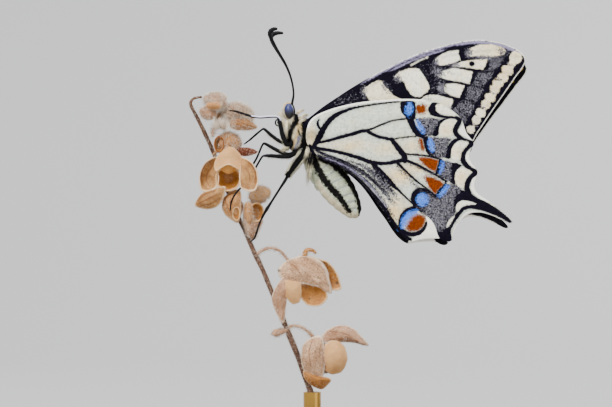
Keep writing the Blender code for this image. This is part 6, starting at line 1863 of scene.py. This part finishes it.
class Husk:
    """Sheets, ribbed bodies and stalks of one seed capsule, gathered into one mesh."""

    def __init__(self):
        self.points, self.faces, self.slots, self.fields, self.cells = [], [], [], [], []
        self.count = 0

    def gather(self, points, faces, slots, across, along, edge, fuzz, cells):
        self.points.append(points)
        self.faces.append(faces + self.count)
        self.slots.append(slots)
        self.fields.append(np.column_stack([across, along, edge, fuzz]))
        self.cells.append(cells)
        self.count += len(points)

    def sheet(self, middle, rim, front, back, fuzz, ribs):
        """A dished papery sheet from its middle to its rim, ribbed and wrinkled, with a thick rolled edge."""
        middle = np.array(middle, float)
        rim = curve_through(rim, 9, closed=True)
        columns = len(rim)
        angle = np.arctan2(*(rim - middle)[:, [1, 0]].T)
        ragged = 1 + 0.013 * np.sin(7 * angle + middle[0]) + 0.008 * np.sin(13 * angle + middle[1])
        rim = middle + (rim - middle) * (ragged * (1 - 0.01))[:, None]
        rim[:, 2] = middle[2] + (rim[:, 2] - middle[2]) / ragged
        share = np.linspace(0, 1, SHEET_ROWS)[:, None, None]
        rings = middle + (rim - middle) * np.concatenate([share, share, share**2], axis=2)
        grid = to_world(rings[..., :2].reshape(-1, 2), rings[..., 2].ravel() * MM)
        grid = grid.reshape(SHEET_ROWS, columns, 3)
        around = np.roll(grid, -1, axis=1) - np.roll(grid, 1, axis=1)
        normal = np.cross(np.gradient(grid, axis=0), around)
        normal[0] = normal[1].mean(axis=0)
        normal = unit(normal)
        if normal[1:, :, 1].mean() > 0:
            normal = -normal
        s = share[..., 0]
        folds = np.cos(ribs * angle + middle[1]) + 0.7 * np.sin(3 * angle + 7 * s)
        lift = SHEET_WAVE * folds * s * (1.25 - s)
        lift = lift + SHEET_WAVE * 0.8 * np.sin(5 * angle - 11 * s) * s * (1 - s) + SHEET_CURL * s**10
        roll = 1 + 0.7 * np.exp(-(((s - 0.95) / 0.05) ** 2))
        thick = SHEET_HALF * roll * (1 - 0.6 * smooth((s - 0.96) / 0.04))
        points, cells = [], []
        circle = np.stack([s * np.cos(angle), s * np.sin(angle)], axis=-1)
        for sign in (1, -1):
            layer = grid + normal * (lift + sign * thick)[..., None]
            points += [layer[0].mean(axis=0)[None], layer[1:].reshape(-1, 3)]
            spread = np.vstack([np.zeros((1, 2)), circle[1:].reshape(-1, 2)])
            across = 0.25 - sign * 0.25 + 0.24 * spread[:, 0] + 0.25
            cells.append(np.column_stack([across, 0.5 + 0.47 * spread[:, 1]]))
        size = 1 + (SHEET_ROWS - 1) * columns
        j = np.arange(columns)
        after = (j + 1) % columns
        i = np.arange(SHEET_ROWS - 2)[:, None]
        a, b = 1 + i * columns + j, 1 + i * columns + after
        one = np.vstack([
            np.column_stack([np.zeros(columns, int), 1 + j, 1 + after]),
            np.stack([a, a + columns, b + columns, a, b + columns, b], axis=-1).reshape(-1, 3)])
        last = 1 + (SHEET_ROWS - 2) * columns
        ring = np.vstack([
            np.column_stack([last + j, last + after, last + after + size]),
            np.column_stack([last + j, last + after + size, last + j + size])])
        faces = np.vstack([one, one[:, ::-1] + size, ring[:, ::-1]])
        slots = np.concatenate([np.full(len(one), front), np.full(len(one), back), np.full(len(ring), front)])
        turns = np.concatenate([[0], np.tile(angle, SHEET_ROWS - 1)]) + middle[0]
        along = np.concatenate([[0], np.repeat(s[1:, 0], columns)])
        fuzzy = fuzz * (0.5 + 0.5 * along)
        self.gather(np.vstack(points), faces, slots, np.tile(turns, 2), np.tile(along, 2),
                    np.tile(1 - along, 2), np.concatenate([fuzzy, fuzzy]), np.vstack(cells))

    def pod(self, root, tip, half_width, half_depth, ribs, slot, fuzz, rows=40, sides=64):
        """A ribbed ovoid between two spots, half_depth in mm."""
        start, end = np.array(place(*root)), np.array(place(*tip))
        axis = end - start
        across = unit(np.cross(axis, (0, 1, 0)))
        t = (0.004 + 0.992 * (1 - np.cos(np.pi * np.linspace(0, 1, rows))) / 2)[:, None]
        angle = (2 * np.pi * np.arange(sides) / sides)[None]
        girth = np.sin(np.pi * t) ** 0.62
        rib = 1 - 0.11 * (0.5 - 0.5 * np.cos(ribs * angle)) * np.sin(np.pi * t)
        rib = rib * (1 + 0.03 * np.sin(7 * angle + 11 * t))
        wide, deep = half_width * UNIT * girth * rib, half_depth * MM * girth * rib
        grid = (start + axis * t[..., None] + across * (wide * np.cos(angle))[..., None]
                + np.array([0, 1, 0]) * (deep * np.sin(angle))[..., None])
        points = np.vstack([grid.reshape(-1, 3), start + axis * 0.001, start + axis * 0.999])
        faces = tube_faces(rows, sides)
        turn = np.concatenate([np.tile(np.arange(sides) / sides, rows), [0, 0]])
        along = np.concatenate([np.repeat(t.ravel(), sides), [0, 1]])
        cells = map_cell(turn, along)
        self.gather(points, faces, np.full(len(faces), slot), turn * 5, along, np.ones(len(points)),
                    np.full(len(points), fuzz), cells)

    def stalk(self, stations, slot, fuzz):
        line, radii = drawn_line(stations, 1, STALK_STEPS)
        points, faces, share, turn = tube_arrays(line, radii * STALK_SLIM, STALK_SIDES)
        cells = map_cell(turn, share)
        self.gather(points, faces, np.full(len(faces), slot), turn, share, np.ones(len(points)),
                    np.full(len(points), fuzz), cells)

    def build(self, name, node, materials, fuzz_finish, random):
        points, faces = np.vstack(self.points), np.vstack(self.faces)
        fields = np.vstack(self.fields)
        obj = triangle_mesh(name, points, faces, materials[0])
        for finish in materials[1:]:
            obj.data.materials.append(finish)
        obj.data.polygons.foreach_set("material_index", np.concatenate(self.slots).astype(np.int32))
        outward(obj)
        for k, field in enumerate(("across", "along", "edge", "fuzz")):
            set_floats(obj, field, fields[:, k])
        flat = drawn(points)
        pit = np.zeros(len(points))
        for x, y, radius in HUSK_PITS:
            pit = np.maximum(pit, 1 - np.hypot(flat[:, 0] - x, flat[:, 1] - y) / radius)
        set_floats(obj, "pit", pit)
        # Dark streaks, one of them painted shadow
        set_floats(obj, "streak", np.clip(0.6 + strokes(flat, HUSK_STREAKS_AND_SHADOW), 0, 1))
        side = math.ceil(math.sqrt(len(self.cells)))
        uv = np.vstack([(cell + (k % side, k // side)) / side for k, cell in enumerate(self.cells)])
        set_uv(obj, uv)
        settle(obj, "dry_capsule", node)

        points, triangles, normals = mesh_arrays(obj)
        fuzzy = fields[:, 3][triangles].mean(axis=1)
        spacing = np.where(fuzzy > 0.02, 0.16 / np.sqrt(np.maximum(fuzzy, 0.03)), 9.0) * MM
        roots, chosen = scattered(points, triangles, spacing, random)
        normal = unit(normals[triangles[chosen]].mean(axis=1))
        lie = np.cross(normal, random.normal(0, 1, normal.shape)) + np.array([0.0, 0, -0.2])
        lie = level(lie, normal)
        count = len(roots)
        length = (0.16 + 0.3 * np.minimum(fuzzy[chosen], 2)) * random.uniform(0.5, 1.3, count) * MM
        width = FUZZ_WIDTH * np.minimum(1, 0.4 + fuzzy[chosen])
        lie = lie * random.uniform(0.3, 0.9, count)[:, None]
        spots = uv[triangles[chosen][:, 0]]
        fur(name + "_fuzz", roots, normal, lie, length, width, FUZZ_RISE, {}, spots, fuzz_finish,
            "dry_capsule", (node,))


def fuzz_material():
    g = Graph("fuzz")
    cloud = g.noise(g.coordinates(), 900, 2)
    colour = g.mix(g.ramp(cloud, 0.3, 0.7), FUZZ_LIGHT, FUZZ_DEEP)
    return g.finish(colour, 0.8, Specular_IOR_Level=0.15)


def make_strands(random, finish):
    """Loose pale fibres that hang from the top capsule over the one below."""
    count = STRANDS
    across = random.random(count)
    inward = random.uniform(-0.9, 1.0, count)
    spots = np.column_stack([213 + 24 * across, random.uniform(116, 122, count)])
    roots = to_world(spots, inward * MM)
    fall = np.column_stack([random.normal(0, 1.6, count), random.uniform(9, 17, count)])
    sway = np.column_stack([random.normal(0, 1.4, count), np.zeros(count)])
    tips = to_world(spots + fall, (inward - random.uniform(0.1, 0.8, count)) * MM)
    middles = to_world(spots + fall * 0.5 + sway, (inward - 0.4) * MM)
    lies = unit(middles - roots)
    normals = unit(np.cross(lies, HAIR_SIDE))
    widths = random.uniform(0.02, 0.035, count) * MM
    uv = np.column_stack([0.05 + 0.9 * across, 0.1 + 0.8 * random.random(count)])
    fur("capsule_top_strands", roots, normals, lies, widths * 0, widths, 0.0, {}, uv, finish, "dry_capsule",
        ("perch_capsule_top",), bend=(middles, tips))


def make_perch():
    """The dry capsules with their fuzz, and the stalk that bears them."""
    random = np.random.default_rng(PERCH_SEED)
    kinds = [dry_material("husk_" + name, *look) for name, *look in HUSK_FINISHES]
    fuzz = fuzz_material()
    for node, (sheets, pods, stalks) in CAPSULES.items():
        sheet_looks, pod_looks, stalk_looks = HUSK_LOOKS[node]
        husk = Husk()
        for (middle, rim), look in zip(sheets, sheet_looks):
            husk.sheet(middle, rim, *look)
        for stations, look in zip(pods, pod_looks):
            husk.pod(*stations, *look)
        for stations, look in zip(stalks, stalk_looks):
            husk.stalk(stations, *look)
        husk.build(node.removeprefix("perch_"), node, kinds, fuzz, random)
    make_strands(random, fuzz)

    bark = dry_material("stem_bark", *BARK)
    husk = Husk()
    line, radii = drawn_line(STEM, 1, STEM_STEPS)
    wave = 1 + 0.05 * np.sin(np.arange(len(line)) * 0.37) + 0.04 * np.sin(np.arange(len(line)) * 0.13)
    points, faces, share, turn = tube_arrays(line, radii * wave, STEM_SIDES)
    cells = map_cell(turn, share)
    husk.gather(points, faces, np.zeros(len(faces), int), turn, share * 12, np.ones(len(points)),
                np.full(len(points), 0.5), cells)
    husk.stalk(STEM_BUD, 1, 1.0)
    husk.build("stem", "perch_stem", (bark, kinds[ROSY]), fuzz, random)


def finish_stand():
    """Oiled dark wood for the foot and brushed brass for the rod and its socket."""
    g = Graph("stand_wood")
    spot = g.coordinates((60, 340, 340))
    rings = g.noise(spot, 1.0, 4)
    grain = g.noise(g.coordinates((300, 4000, 4000)), 1.0, 3)
    colour = g.mix(g.ramp(rings, 0.35, 0.65), WOOD_DARK, WOOD_LIGHT)
    colour = g.mix(g.ramp(grain, 0.5, 0.75, 0, 0.6), colour, WOOD_GRAIN)
    wood = g.finish(colour, 0.42, g.bump(grain, 0.25, 0.05 * MM), Coat_Weight=0.25, Coat_Roughness=0.25)
    g = Graph("stand_brass")
    brushed = g.noise(g.coordinates((3000, 3000, 90000)), 1.0, 2)
    colour = g.mix(g.ramp(brushed, 0.3, 0.7), BRASS_DEEP, BRASS_LIGHT)
    brass = g.finish(colour, 0.3, g.bump(brushed, 0.15, 0.01 * MM), Metallic=1.0)
    for name, finish in (("stand_base", wood), ("stand_rod", brass), ("stand_socket", brass)):
        obj = bpy.data.objects[name]
        obj.data.materials.clear()
        obj.data.materials.append(finish)


# Stage, in metres, and lights as place, size and power
STAGE_FRONT = -1.2
STAGE_BACK = 0.25
STAGE_BEND = 0.35
STAGE_STEPS = 12
STAGE_TOP = 1.6
STAGE_HALF = 1.6
LIGHTS = (
    ("key", (-0.35, -0.5, 0.6), 0.4, 12.5),
    ("fill", (0.55, -0.5, 0.25), 0.6, 3.4),
    ("top", (0.05, 0.1, 0.75), 0.5, 4.5),
    ("rim", (0.3, 0.4, 0.35), 0.35, 2.0),
)
ROOM_COLOUR = (0.95, 0.97, 1, 1)
ROOM_STRENGTH = 0.5
SENSOR_WIDTH = 36


def make_stage():
    """Pale floor that sweeps up behind, soft lights and the camera at the photo's angle."""
    g = Graph("backdrop")
    tone = g.ramp(g.noise(g.coordinates(), 3, 2), 0.3, 0.7, 0.41, 0.43)
    finish = g.finish(g.grey(tone), 0.9, Specular_IOR_Level=0.2)
    profile = [(STAGE_FRONT, 0), (STAGE_BACK, 0)]
    for k in range(1, STAGE_STEPS + 1):
        angle = math.radians(90 * k / STAGE_STEPS)
        profile.append((STAGE_BACK + STAGE_BEND * math.sin(angle), STAGE_BEND - STAGE_BEND * math.cos(angle)))
    profile.append((STAGE_BACK + STAGE_BEND, STAGE_TOP))
    points = [(x, y, z) for y, z in profile for x in (-STAGE_HALF, STAGE_HALF)]
    faces = [(2 * k, 2 * k + 1, 2 * k + 3, 2 * k + 2) for k in range(len(profile) - 1)]
    floor = mesh_object("backdrop", points, faces, (finish,))

    centre = place(*FRAME_CENTRE)
    for name, where, size, power in LIGHTS:
        light = bpy.data.lights.new(name, "AREA")
        light.size = size
        light.energy = power
        obj = linked(name, light)
        obj.location = where
        obj.rotation_euler = (centre - Vector(where)).to_track_quat("-Z", "Y").to_euler()
    world = bpy.data.worlds.new("soft_room")
    world.use_nodes = True
    background = world.node_tree.nodes["Background"]
    background.inputs["Color"].default_value = ROOM_COLOUR
    background.inputs["Strength"].default_value = ROOM_STRENGTH
    bpy.context.scene.world = world

    camera = bpy.data.cameras.new("camera")
    camera.sensor_width = SENSOR_WIDTH
    camera.lens = SENSOR_WIDTH * CAMERA_DISTANCE / (FRAME_WIDTH * UNIT)
    camera.clip_start = 0.01
    camera.clip_end = 20
    obj = linked("camera", camera)
    obj.location = (centre.x, -CAMERA_DISTANCE, centre.z)
    obj.rotation_euler = (math.pi / 2, 0, 0)
    bpy.context.scene.camera = obj


make_stage()
make_wings()
make_body()
make_eyes()
make_limbs()
make_perch()
finish_stand()
